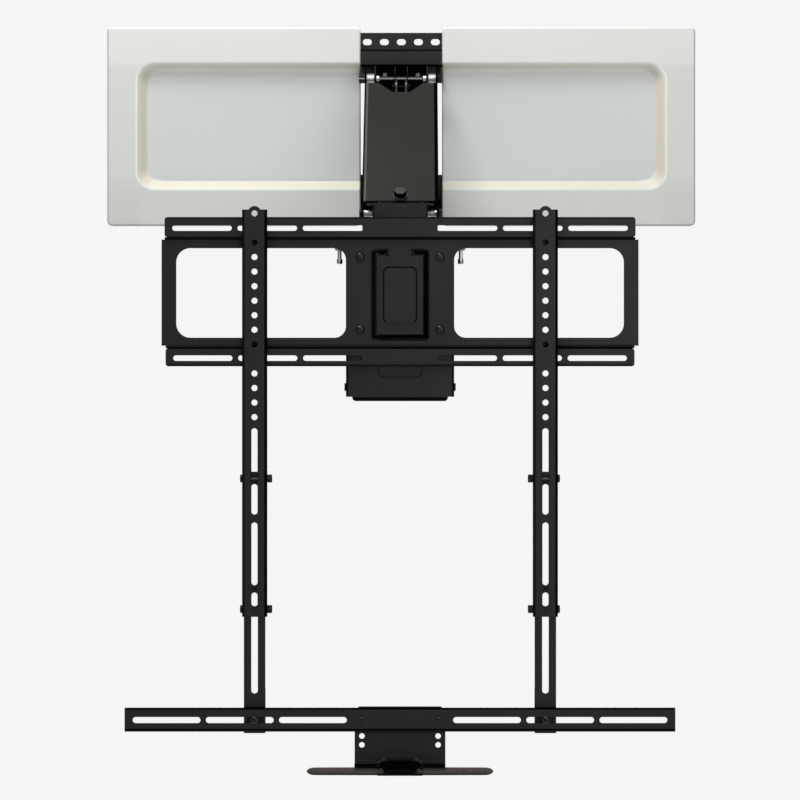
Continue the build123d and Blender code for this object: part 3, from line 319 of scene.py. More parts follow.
class PaintSheet(NodeSheet):
    """The node tree of a new material."""

    def __init__(self, name: str) -> None:
        """Starts the material.

        Args:
            name: Name of the material.
        """
        self.material = bpy.data.materials.new(name)
        self.material.use_nodes = True
        super().__init__(self.material.node_tree)

    def attribute(self, name: str) -> Socket:
        """Factor stored on the mesh, which is zero where the mesh hasn't got it.

        Args:
            name: Name of the mesh's attribute.

        Returns:
            The factor.
        """
        made = self.tree.nodes.new("ShaderNodeAttribute")
        made.attribute_name = name
        return made.outputs["Fac"]

    def bump(self, height: Socket, depth: float, under: Socket | None = None) -> Socket:
        """Bump from a height.

        Args:
            height: Height factor.
            depth: Depth of the relief in metres.
            under: Normal of another bump below this one.

        Returns:
            The bumped normal.
        """
        made = self.add("ShaderNodeBump", Height=height, Distance=depth, Strength=1.0)
        if under is not None:
            self.put(made.inputs["Normal"], under)
        return made.outputs[0]

    def finish(self, **inputs: object) -> Material:
        """Sets the shader's inputs and gives the material.

        Args:
            **inputs: Values or output sockets, with underscores for spaces.

        Returns:
            The material.
        """
        for key, value in inputs.items():
            self.put(self.tree.nodes["Principled BSDF"].inputs[key.replace("_", " ")], value)
        return self.material


@dataclass(frozen=True)
class Recipe:
    """What every finish has: its name, and a slot of the record."""

    name: str
    slot: Slot

    def make(self) -> Material:
        """Builds the material."""
        raise NotImplementedError


@dataclass(frozen=True)
class PowderCoat(Recipe):
    """Baked powder paint on steel: a fine orange peel with faint patches of gloss."""

    deep: Colour
    light: Colour
    rough: tuple[float, float] = (0.38, 0.5)
    shine: float = 0.3
    peel: float = 0.00006
    peel_scale: float = 900.0
    dust_finer: float = 3.1
    dust_share: float = 0.3
    patch_scale: float = 14.0
    creases: tuple[Crease, ...] = ()
    recess: tuple[float, float] | None = None
    recess_shade: float = 0.85
    shade_mark: str = ""

    def make(self) -> Material:
        """Builds the material: colour and gloss drift over a hand's breadth, bump over a millimetre.

        Folds get painted shade along their creases, or a painted highlight where a crease's colour
        is light. A piece with a recess gets painted shade from one Y to another, and faces that carry
        the shade mark get painted shade; painted shade also takes away gloss.

        Returns:
            The material.
        """
        sheet = PaintSheet(self.name)
        patch = sheet.noise(self.patch_scale, detail=3.0)
        grain = sheet.noise(self.peel_scale, detail=2.0, rough=0.4)
        dust = sheet.noise(self.peel_scale * self.dust_finer, detail=1.0)
        tint, shine = sheet.drift(patch, self.deep, self.light), self.shine
        shades = sheet.shades(self.creases)
        if self.recess:
            shades.append((sheet.span(sheet.part(Axis.DEPTH), 0.0, self.recess_shade, *self.recess), SHADE))
        if self.shade_mark:
            shades.append((sheet.attribute(self.shade_mark), SHADE))
        for share, colour in shades:
            tint = sheet.blend(share, tint, colour)
            shine = sheet.math("MULTIPLY", shine, sheet.math("SUBTRACT", 1.0, share))
        return sheet.finish(
            Base_Color=tint, Roughness=sheet.span(patch, *reversed(self.rough)), Specular_IOR_Level=shine,
            Normal=sheet.bump(dust, self.peel * self.dust_share, sheet.bump(grain, self.peel)))


@dataclass(frozen=True)
class MouldedPlastic(Recipe):
    """White moulded plastic with a fine spark-eroded grain and faint flow marks.

    The mesh's own attributes mark where light and shade are painted on: painted shade on the
    steep walls, on the side rims and along the outer edges; painted light on the top rim and on
    the tray's floor under its top wall; a painted highlight along the rim; and a painted cool
    reflection with painted shade on the tray's floor.
    """

    colour: Colour
    shade: Colour
    marks: tuple[tuple[str, Colour], ...]
    rough: tuple[float, float] = (0.42, 0.52)
    shine: float = 0.4
    grain: float = 0.00003
    grain_scale: float = 1400.0
    flow_scale: float = 5.0
    wave: float = 6.0

    def make(self) -> Material:
        """Builds the material: grain under a millimetre, flow marks drawn out along X.

        Returns:
            The material.
        """
        sheet = PaintSheet(self.name)
        flow = sheet.noise(self.flow_scale, detail=2.0, stretch=(0.4, 1.0, 1.6))
        grain = sheet.noise(self.grain_scale, detail=1.0)
        wave = sheet.noise(self.flow_scale * self.wave, detail=1.0)
        tint = sheet.drift(flow, self.colour, self.shade)
        for mark, colour in self.marks:
            tint = sheet.blend(sheet.attribute(mark), tint, colour)
        return sheet.finish(
            Base_Color=tint, Roughness=sheet.span(flow, *self.rough), Specular_IOR_Level=self.shine,
            Normal=sheet.bump(grain, self.grain, sheet.bump(wave, self.grain * self.wave)))


@dataclass(frozen=True)
class TurnedSteel(Recipe):
    """Bright plated steel with the fine rings that a lathe leaves."""

    axis: Axis
    colour: Colour = (0.74, 0.74, 0.75)
    rings: float = 2600.0
    depth: float = 0.000003
    drawn_out: float = 0.04
    dulled: float = 0.8
    rough: tuple[float, float] = (0.16, 0.3)
    creases: tuple[Crease, ...] = ()

    def make(self) -> Material:
        """Builds the material: rings are a noise drawn out round the axis, so it varies only along it.

        Returns:
            The material.
        """
        sheet = PaintSheet(self.name)
        stretch = [1.0 if axis is self.axis else self.drawn_out for axis in Axis]
        rings = sheet.noise(self.rings, detail=2.0, stretch=stretch)
        smear = sheet.noise(120.0, detail=3.0)
        tint = sheet.drift(smear, self.colour, tuple(self.dulled * part for part in self.colour))
        # Creases paint dark bands into the shine: painted reflection.
        for share, colour in sheet.shades(self.creases):
            tint = sheet.blend(share, tint, colour)
        return sheet.finish(
            Base_Color=tint, Metallic=1.0, Roughness=sheet.span(smear, *self.rough),
            Normal=sheet.bump(rings, self.depth))


@dataclass(frozen=True)
class BlackOxide(Recipe):
    """Blackened steel of bolts and pins: dark, with a faint rubbed shine."""

    deep: Colour = (0.007, 0.007, 0.0075)
    rubbed: Colour = (0.024, 0.024, 0.025)
    rough: tuple[float, float] = (0.5, 0.36)
    shine: float = 0.12

    def make(self) -> Material:
        """Builds the material: rubbed patches are lighter and smoother.

        Returns:
            The material.
        """
        sheet = PaintSheet(self.name)
        patch = sheet.noise(260.0, detail=4.0)
        scratch = sheet.noise(1500.0, detail=2.0, stretch=(1.0, 0.3, 1.0))
        return sheet.finish(
            Base_Color=sheet.drift(patch, self.deep, self.rubbed, 0.45, 0.7), Metallic=0.1,
            Roughness=sheet.span(patch, *self.rough), Specular_IOR_Level=self.shine,
            Normal=sheet.bump(scratch, 0.00002))


@dataclass(frozen=True)
class Lacquer(Recipe):
    """Glossy black lacquer of the gas cylinder."""

    deep: Colour = (0.008, 0.008, 0.009)
    light: Colour = (0.016, 0.016, 0.017)

    def make(self) -> Material:
        """Builds the material: smooth, with a clear coat and a slight drift of gloss.

        Returns:
            The material.
        """
        sheet = PaintSheet(self.name)
        drift = sheet.noise(30.0, detail=2.0)
        return sheet.finish(
            Base_Color=sheet.drift(drift, self.deep, self.light), Roughness=sheet.span(drift, 0.2, 0.32),
            Coat_Weight=0.5, Coat_Roughness=0.08, Normal=sheet.bump(sheet.noise(500.0, detail=1.0), 0.00001))


@dataclass(frozen=True)
class FoamRubber(Recipe):
    """Closed-cell foam of the grips: matt, brown-black, with open pores at its skin."""

    deep: Colour = (0.052, 0.04, 0.034)
    light: Colour = (0.105, 0.083, 0.072)
    underside: tuple[float, float] = (-906.3 * MM, -903.6 * MM)

    def make(self) -> Material:
        """Builds the material: pores are the near edges of cells under a millimetre.

        Painted shade darkens the foam towards its underside.

        Returns:
            The material.
        """
        sheet = PaintSheet(self.name)
        cells = sheet.add("ShaderNodeTexVoronoi", Vector=sheet.place, Scale=1300.0)
        pores = sheet.span(cells.outputs["Distance"], 0.0, 1.0, 0.1, 0.6)
        mottle = sheet.noise(400.0, detail=4.0, rough=0.7)
        underside_shade = sheet.span(sheet.part(Axis.UPRIGHT), 0.8, 0.0, *self.underside)
        return sheet.finish(
            Base_Color=sheet.blend(underside_shade, sheet.drift(mottle, self.deep, self.light), SHADE),
            Roughness=sheet.span(mottle, 0.8, 0.95), Specular_IOR_Level=0.08,
            Normal=sheet.bump(pores, 0.00012, sheet.bump(mottle, 0.0002)))


def black(piece: str, *creases: Crease, **more: object) -> PowderCoat:
    """The black coat of all steel sheets, with the creases of one piece."""
    return PowderCoat(f"black powder coat of {piece}", Slot.BLACK_STEEL, *BLACK, creases=creases, **more)


class Finish(Enum):
    """Every finish of the mount, with its recipe."""

    STEEL = black("steel")
    # Painted shade across the wall plate behind the arms.
    WALL = black("wall plate", Crease.level(-117.0, 12.5, 0.95))
    # Painted shade deepening towards the back of the channel and the anchor, with less shine: the shade of
    # their recess.
    CHANNEL = black("pivot channel", shine=0.05, recess=(-14.0 * MM, -9.0 * MM))
    # Painted shade along two lines across the cross channel.
    CROSS = black("cross channel", Crease.level(113.4, 1.5), Crease.level(90.0, 2.1))
    # Painted shade along the frame's folds and joggles, round its bolts and along two rounded outlines in the
    # middle, the outer one fainter on its lit left side; a softer painted shade dims the highlight on the
    # lower joggle.
    FRAME = black(
        "head frame",
        Crease.level(-142.2, 1.0, 0.8), Crease.level(-170.2, 2.6, 0.85),
        Crease.level(-318.5, 1.5, colour=SOFT_SHADE), Crease.level(-321.2, 1.9), Crease.level(-345.2, 1.3, 0.85),
        *(Crease.ring(x, z, 5.7, 0.8, 0.8) for x in (-55.0, 55.0) for z in (-196.0, -296.0)),
        Crease((-22.6, -287.5), (22.6, -210.0), 1.0, corner=8.0, lower_gap=20.0),
        Crease((-36.4, -307.3), (36.0, -189.2), 5.1, 0.95, corner=2.0, upper_gap=16.0, left_share=0.62))
    # Painted shade round the housing's pocket, along both sides and along a line near its bottom.
    HOUSING = black(
        "housing", Crease((-30.0, -362.0), (30.0, -300.0), 0.9, 0.5, corner=9.0),
        Crease.right_of(-73.9, 2.3), Crease.left_of(73.9, 2.3), Crease.level(-392.4, 3.0, 0.9))
    # Painted shade along the straps' bends, and painted windows with a painted highlight for the clamp bolts.
    STRAP = black("straps", *Crease.strap(-200.0), *Crease.strap(200.0))
    # Painted shade along three lines across the bar: its upper edge, its lower edge and just below.
    BAR = black("bar", Crease.level(-816.3, 1.6), Crease.level(-844.8, 1.3), Crease.level(-848.8, 3.2, 0.85))
    # Painted shade along the bracket's folds and hem and in a patch under its arch, with painted highlights
    # along a fold and round the arch.
    BRACKET = black(
        "handle bracket", Crease.level(-846.8, 1.6, 0.8), Crease.level(-892.9, 2.9),
        Crease.level(-888.1, 1.5, upper_gap=28.0, colour=FOLD_HIGHLIGHT),
        Crease((-24.0, -AWAY), (24.0, -883.3), 1.9, corner=5.0, colour=FOLD_HIGHLIGHT),
        Crease((-16.0, -903.0), (16.0, -893.2), 9.5))
    # A darker copy of the black coat: painted shade on the handle core under the bracket's arch and on the
    # bracket's edging strips.
    CORE = PowderCoat(
        "black powder coat of handle core", Slot.BLACK_STEEL, (0.0009,) * 3, (0.0014,) * 3, shine=0.05)
    # A painted highlight along the arm's left bend, and painted shade at its left edge and along its right
    # bend.
    ARM = PowderCoat(
        "warm grey powder coat", Slot.ARM_STEEL, (0.0074, 0.0067, 0.0042), (0.0092, 0.0084, 0.0056),
        rough=(0.46, 0.6), shine=0.22, creases=(
            Crease.right_of(-49.5, 1.9, colour=(0.085, 0.082, 0.074)), Crease.right_of(-52.4, 1.4),
            Crease.left_of(51.4, 3.9)))
    # Painted shade on the bolt's flanks, by a mark on its faces.
    HEXAGON = PowderCoat(
        "oiled bolt", Slot.BLACK_FASTENER, (0.023, 0.0225, 0.0205), (0.03, 0.0292, 0.0268), rough=(0.3, 0.42),
        shine=0.45, shade_mark="shaded_flank")
    # Near black: painted shade on the bright steel pin between the anchor's cheeks.
    SHADED_PIN = PowderCoat("shaded pin", Slot.BRIGHT_STEEL, (0.002,) * 3, (0.003,) * 3, shine=0.03)
    ZINC = PowderCoat("grey zinc", Slot.BLACK_STEEL, (0.2,) * 3, (0.3,) * 3, rough=(0.3, 0.42))
    PALE_ZINC = PowderCoat(
        "pale zinc", Slot.BRIGHT_STEEL, (0.5, 0.5, 0.49), (0.62, 0.62, 0.61), rough=(0.3, 0.42))
    # Near black with a painted highlight line along the shank: painted reflection on the plated bolt.
    BLUE_ZINC = PowderCoat(
        "blue zinc", Slot.BRIGHT_STEEL, (0.012, 0.013, 0.0145), (0.02, 0.0215, 0.024), shine=0.1,
        creases=(Crease.level(69.5, 1.1, colour=(0.34, 0.35, 0.36)),))
    # Marks on the covers' mesh paint light and shade: shade on the walls, side rims and edges, light on the
    # top rim and under the top wall, a highlight on the rim, and a cool reflection on the tray's floor.
    WHITE = MouldedPlastic("white moulding", Slot.WHITE_COVER, (0.645, 0.655, 0.63), (0.615, 0.625, 0.6), (
        ("floor", (0.6, 0.625, 0.625)), ("upper", (0.68, 0.69, 0.665)), ("side", (0.6, 0.61, 0.58)),
        ("shadow_lift", (0.86, 0.87, 0.84)), ("slope_shade", (0.63, 0.6, 0.47)), ("lip_highlight", (0.86, 0.865, 0.83)),
        ("edge", (0.3, 0.3, 0.29))))
    OXIDE = BlackOxide("black oxide", Slot.BLACK_FASTENER)
    POLISHED = BlackOxide("polished black oxide", Slot.BLACK_FASTENER, rough=(0.3, 0.2), shine=0.4)
    LACQUER = Lacquer("cylinder lacquer", Slot.STRUT_PAINT)
    FOAM = FoamRubber("grip foam", Slot.GRIP_FOAM)
    BRIGHT_ACROSS = TurnedSteel("turned steel across", Slot.BRIGHT_STEEL, Axis.ACROSS)
    BRIGHT_UPRIGHT = TurnedSteel("turned steel upright", Slot.BRIGHT_STEEL, Axis.UPRIGHT)
    # Dark bands at set heights: painted reflection on the sleeves, bushings and collars.
    SLEEVE = TurnedSteel(
        "sleeve steel", Slot.BRIGHT_STEEL, Axis.ACROSS, colour=(0.9, 0.9, 0.9), rough=(0.4, 0.5), creases=(
            Crease.level(75.3, 3.1, 0.8), Crease.level(65.5, 1.5, 0.4), Crease.level(62.0, 1.6),
            Crease.level(-130.0, 1.7), Crease.level(-134.6, 1.7, 0.6), Crease.level(-140.6, 1.2)))

    @cache
    def material(self) -> Material:
        """The material, made at the first call."""
        return self.value.make()


def hexagon_reach(angle: np.ndarray) -> np.ndarray:
    """Distance to a hexagon's side over that to its flat: one over the cosine of the angle between them."""
    step = math.pi / 3
    return 1.0 / np.cos(np.mod(angle + step / 2, step) - step / 2)


def stand(name: str, data: bpy.types.ID) -> Piece:
    """Links a new object at the origin.

    Args:
        name: Name of the object.
        data: Its mesh, camera or light.

    Returns:
        The object.
    """
    piece = bpy.data.objects.new(name, data)
    bpy.context.scene.collection.objects.link(piece)
    return piece


def link(name: str, points: np.ndarray, faces: np.ndarray, material: Material,
         marks: dict[str, np.ndarray] | None = None) -> Piece:
    """Makes an object of points and faces, with its doubles merged and its faces outwards.

    Args:
        name: Name of the object and its mesh.
        points: Array of n by 3 places in metres.
        faces: Array of m by 4 point numbers.
        material: Finish of the whole piece.
        marks: Factor of each point that the material reads, by name.

    Returns:
        The linked object, at the origin.
    """
    mesh = bpy.data.meshes.new(name)
    mesh.from_pydata(points.tolist(), [], faces.tolist())
    for mark, values in (marks or {}).items():
        mesh.attributes.new(mark, "FLOAT", "POINT").data.foreach_set("value", values)
    sheet = bmesh.new()
    sheet.from_mesh(mesh)
    bmesh.ops.remove_doubles(sheet, verts=sheet.verts, dist=DOUBLES)
    bmesh.ops.recalc_face_normals(sheet, faces=sheet.faces)
    sheet.to_mesh(mesh)
    sheet.free()
    mesh.materials.append(material)
    return stand(name, mesh)


def grid_faces(rows: int, columns: int, wrap: bool) -> np.ndarray:
    """Quads of a grid of points, numbered row by row.

    Args:
        rows: Points along the first direction.
        columns: Points along the second direction.
        wrap: Whether the last column joins the first.

    Returns:
        Array of quads.
    """
    row, column = np.meshgrid(np.arange(rows - 1), np.arange(columns if wrap else columns - 1), indexing="ij")
    after = (column + 1) % columns
    corners = ((row, column), (row, after), (row + 1, after), (row + 1, column))
    return np.stack([down * columns + across for down, across in corners], -1).reshape(-1, 4)


def soften(piece: Piece, width: float, limit: float = 32.0, segments: int = 2) -> None:
    """Shades a piece smooth and, for a width above zero, rounds its sharp edges.

    Args:
        piece: Object to finish.
        width: Width of the rounding in metres.
        limit: Angle over which an edge counts as sharp, in degrees.
        segments: Steps of the rounding.
    """
    piece.data.polygons.foreach_set("use_smooth", np.ones(len(piece.data.polygons), dtype=bool))
    if not width:
        return
    rounding = piece.modifiers.new("rounded edges", "BEVEL")
    rounding.width = width
    rounding.segments = segments
    rounding.limit_method = "ANGLE"
    rounding.angle_limit = math.radians(limit)
    rounding.harden_normals = True
    rounding.miter_outer = "MITER_ARC"


def seat(piece: Piece, body: str, finish: Finish, *nodes: str) -> Piece:
    """Makes a finished piece ride on a body and stand for nodes.

    Args:
        piece: The finished object.
        body: Body that it moves with.
        finish: Finish of the piece; not used.
        *nodes: Nodes that it stands for.

    Returns:
        The same object.
    """
    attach(piece, body)
    if nodes:
        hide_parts(*nodes)
    log.info("piece %s on %s", piece.name, body)
    return piece


def turned(name: str, rings: Sequence[Sequence[float]], place: Sequence[float], axis: Axis, finish: Finish,
           body: str, *nodes: str, sides: int = 48, flutes: int = 0, flute_depth: float = 0.0,
           edge: float = 0.15 * MM) -> Piece:
    """A piece turned about an axis, whose rings may be round, hexagonal or knurled.

    The surface is station along the axis against angle round it. A ring's radius is its own
    number times one for a round ring, or times the hexagon's reach for a hexagonal one, less a
    cosine of the angle times the number of flutes for a knurled one. Knurled pieces stay faceted.

    Args:
        name: Name of the piece.
        rings: Station, radius, and where they aren't zero, share of hexagon and share of flutes.
        place: Point on the axis that stations are counted from.
        axis: Direction of the axis.
        finish: Finish.
        body: Body that it moves with.
        *nodes: Nodes that it stands for.
        sides: Points round the axis, a multiple of twelve.
        flutes: Number of flutes.
        flute_depth: Depth of a flute.
        edge: Width of the rounding on sharp edges.

    Returns:
        The finished object.
    """
    table = np.array([(*ring, 0.0, 0.0)[:4] for ring in rings], float)
    angle = np.linspace(0.0, 2 * math.pi, sides, endpoint=False)
    radius = table[:, 1:2] * (1.0 + table[:, 2:3] * (hexagon_reach(angle)[None, :] - 1.0))
    radius = radius - table[:, 3:4] * flute_depth * (0.5 + 0.5 * np.cos(flutes * angle))[None, :]
    station = np.repeat(table[:, 0:1], sides, axis=1)
    around = [radius * np.cos(angle), radius * np.sin(angle)]
    around.insert(axis.value, station)
    points = np.stack(around, -1).reshape(-1, 3) + np.array(place)
    piece = link(name, points, grid_faces(len(table), sides, wrap=True), finish.material())
    if not flutes:
        soften(piece, edge, segments=1)
    return seat(piece, body, finish, *nodes)


def profile(steps: Steps, start: float = 0.0, way: int = 1) -> Rings:
    """Rings from steps in millimetres.

    Args:
        steps: Distance, radius and, where they aren't zero, shares of hexagon and flutes.
        start: Station that the distances are counted from, in metres.
        way: One to count them upwards, minus one to count them downwards.

    Returns:
        The rings.
    """
    return [(start + way * distance * MM, radius * MM, *shares) for distance, radius, *shares in steps]


@dataclass(frozen=True)
class Thread:
    """Threaded end of a bolt, whose point is thinner than its shank."""

    pitch: float
    depth: float
    point: float
    plain: float = 0.3 * MM

    def rings(self, start: float, end: float, radius: float) -> Rings:
        """Rings of the thread, the plain stretch and the point.

        The radius falls and rises by the thread's depth once in each pitch.

        Args:
            start: Station of the thread's first ring.
            end: Station of the bolt's end.
            radius: Radius of the shank.

        Returns:
            Station and radius of each ring.
        """
        last = end - math.copysign(self.plain, end - start)
        count = 2 * max(2, int(abs(last - start) / self.pitch)) + 1
        stations = np.linspace(start, last, count).tolist()
        radii = np.where(np.arange(count) % 2, radius - self.depth, radius).tolist()
        return [*zip(stations, radii), (end, radius - self.point), (end, 0.0)]


def pressed(node: str, body: str, finish: Finish, edge: float = 0.35) -> Piece:
    """A folded or machined piece with the construction's own shape, merged, rounded and painted.

    Args:
        node: Node whose shape it has.
        body: Body that it moves with.
        finish: Finish.
        edge: Width of the rounding on its edges, in millimetres.

    Returns:
        The finished object.
    """
    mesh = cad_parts[node].data.copy()
    mesh.name = f"{node}_form"
    mesh.materials.clear()
    sheet = bmesh.new()
    sheet.from_mesh(mesh)
    bmesh.ops.remove_doubles(sheet, verts=sheet.verts, dist=DOUBLES)
    flat = math.radians(0.6)
    bmesh.ops.dissolve_limit(sheet, angle_limit=flat, verts=sheet.verts, edges=sheet.edges)
    sheet.to_mesh(mesh)
    sheet.free()
    for attribute in [a for a in mesh.attributes if a.name == "custom_normal"]:
        mesh.attributes.remove(attribute)
    mesh.materials.append(finish.material())
    piece = stand(mesh.name, mesh)
    soften(piece, edge * MM)
    return seat(piece, body, finish, node)


def held(values: np.ndarray) -> np.ndarray:
    """Values held between zero and one."""
    return np.clip(values, 0.0, 1.0)


def middle(node: str) -> np.ndarray:
    """Centre of a node's box."""
    low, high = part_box(node)
    return (np.array(low) + np.array(high)) / 2


def owned(node: str, first: bool) -> tuple[str, ...]:
    """Node that a set of alike pieces stands for, which only the first of them names."""
    return (node,) if first else ()


@dataclass
class Studio:
    """Camera at the photograph's eye point, a pale floor, and soft light with a bright screen behind."""

    eye: Point = (0.024, -4.81, -0.225)
    lens: float = 144.9
    sensor: float = 36.0
    clip: tuple[float, float] = (0.05, 60.0)
    shift: tuple[float, float] = (-0.0218, -0.1525)
    aim: Point = (0.0, -0.2, -0.35)
    floor_height: float = -1.6
    floor_front: float = -1.5
    floor_back: float = 2.2
    half_width: float = 2.6
    floor_colour: Colour = (0.88, 0.88, 0.88)
    glow: float = 0.28
    pale: Colour = (0.913, 0.913, 0.913)
    screen: Colour = (0.9, 0.9, 0.9)
    screen_edge: tuple[float, float] = (0.6, 0.72)
    sky_below: Colour = (0.36, 0.3, 0.19)
    sky_level: Colour = (0.26, 0.265, 0.27)
    sky_above: Colour = (0.5, 0.51, 0.52)

    def camera(self) -> None:
        """Places the camera level, looking along +Y."""
        data = bpy.data.cameras.new("camera")
        data.lens, data.sensor_width = self.lens, self.sensor
        data.shift_x, data.shift_y = self.shift
        data.clip_start, data.clip_end = self.clip
        camera = stand("camera", data)
        camera.location = self.eye
        camera.rotation_euler = (math.pi / 2, 0.0, 0.0)
        bpy.context.scene.camera = camera

    def floor(self) -> None:
        """Level pale floor under the mount."""
        across = (-self.half_width, self.half_width)
        along = (self.floor_front, self.floor_back)
        points = np.array([(x, y, self.floor_height) for y in along for x in across])
        sheet = PaintSheet("pale floor")
        colour = (*self.floor_colour, 1.0)
        material = sheet.finish(
            Base_Color=colour, Roughness=sheet.span(sheet.noise(0.8, detail=1.0), 0.85, 0.95),
            Emission_Color=colour, Emission_Strength=self.glow, Specular_IOR_Level=0.0)
        link("studio_floor", points, grid_faces(2, 2, wrap=False), material)

    def lamp(self, name: str, place: Sequence[float], size: float, power: float) -> None:
        """Round area light that faces the mount's middle.

        Args:
            name: Name of the light.
            place: Its centre.
            size: Its diameter.
            power: Its power in watts.
        """
        data = bpy.data.lights.new(name, "AREA")
        data.shape = "DISK"
        data.size, data.energy = size, power
        lamp = stand(name, data)
        lamp.location = place
        towards = lamp.location.copy()
        towards[:] = self.aim
        lamp.rotation_euler = (towards - lamp.location).to_track_quat("-Z", "Y").to_euler()

    def sky(self) -> None:
        """Light by direction: warm below, cool overhead and a bright screen behind the mount.

        The camera itself sees one pale colour in every direction.
        """
        world = bpy.data.worlds.new("soft sky")
        world.use_nodes = True
        sheet = NodeSheet(world.node_tree, "Generated")
        ramp = sheet.add("ShaderNodeValToRGB", Fac=sheet.span(sheet.part(Axis.UPRIGHT), 0.0, 1.0, -1.0, 1.0))
        stops = ramp.color_ramp.elements
        stops[0].color = (*self.sky_below, 1.0)
        stops[1].color = (*self.sky_above, 1.0)
        stops.new(0.5).color = (*self.sky_level, 1.0)
        behind = sheet.span(sheet.part(Axis.DEPTH), 0.0, 1.0, *self.screen_edge)
        light = sheet.blend(behind, ramp.outputs["Color"], self.screen)
        seen = sheet.add("ShaderNodeLightPath").outputs["Is Camera Ray"]
        sheet.put(sheet.tree.nodes["Background"].inputs["Color"], sheet.blend(seen, light, self.pale))
        bpy.context.scene.world = world

    def build(self) -> None:
        """Makes the whole studio."""
        self.camera()
        self.floor()
        self.sky()
        bpy.context.scene.view_settings.view_transform = "Standard"
        self.lamp("key", (-0.4, -1.0, 1.8), size=1.1, power=46.0)
        self.lamp("fill", (1.2, -3.4, 0.4), size=2.4, power=25.0)


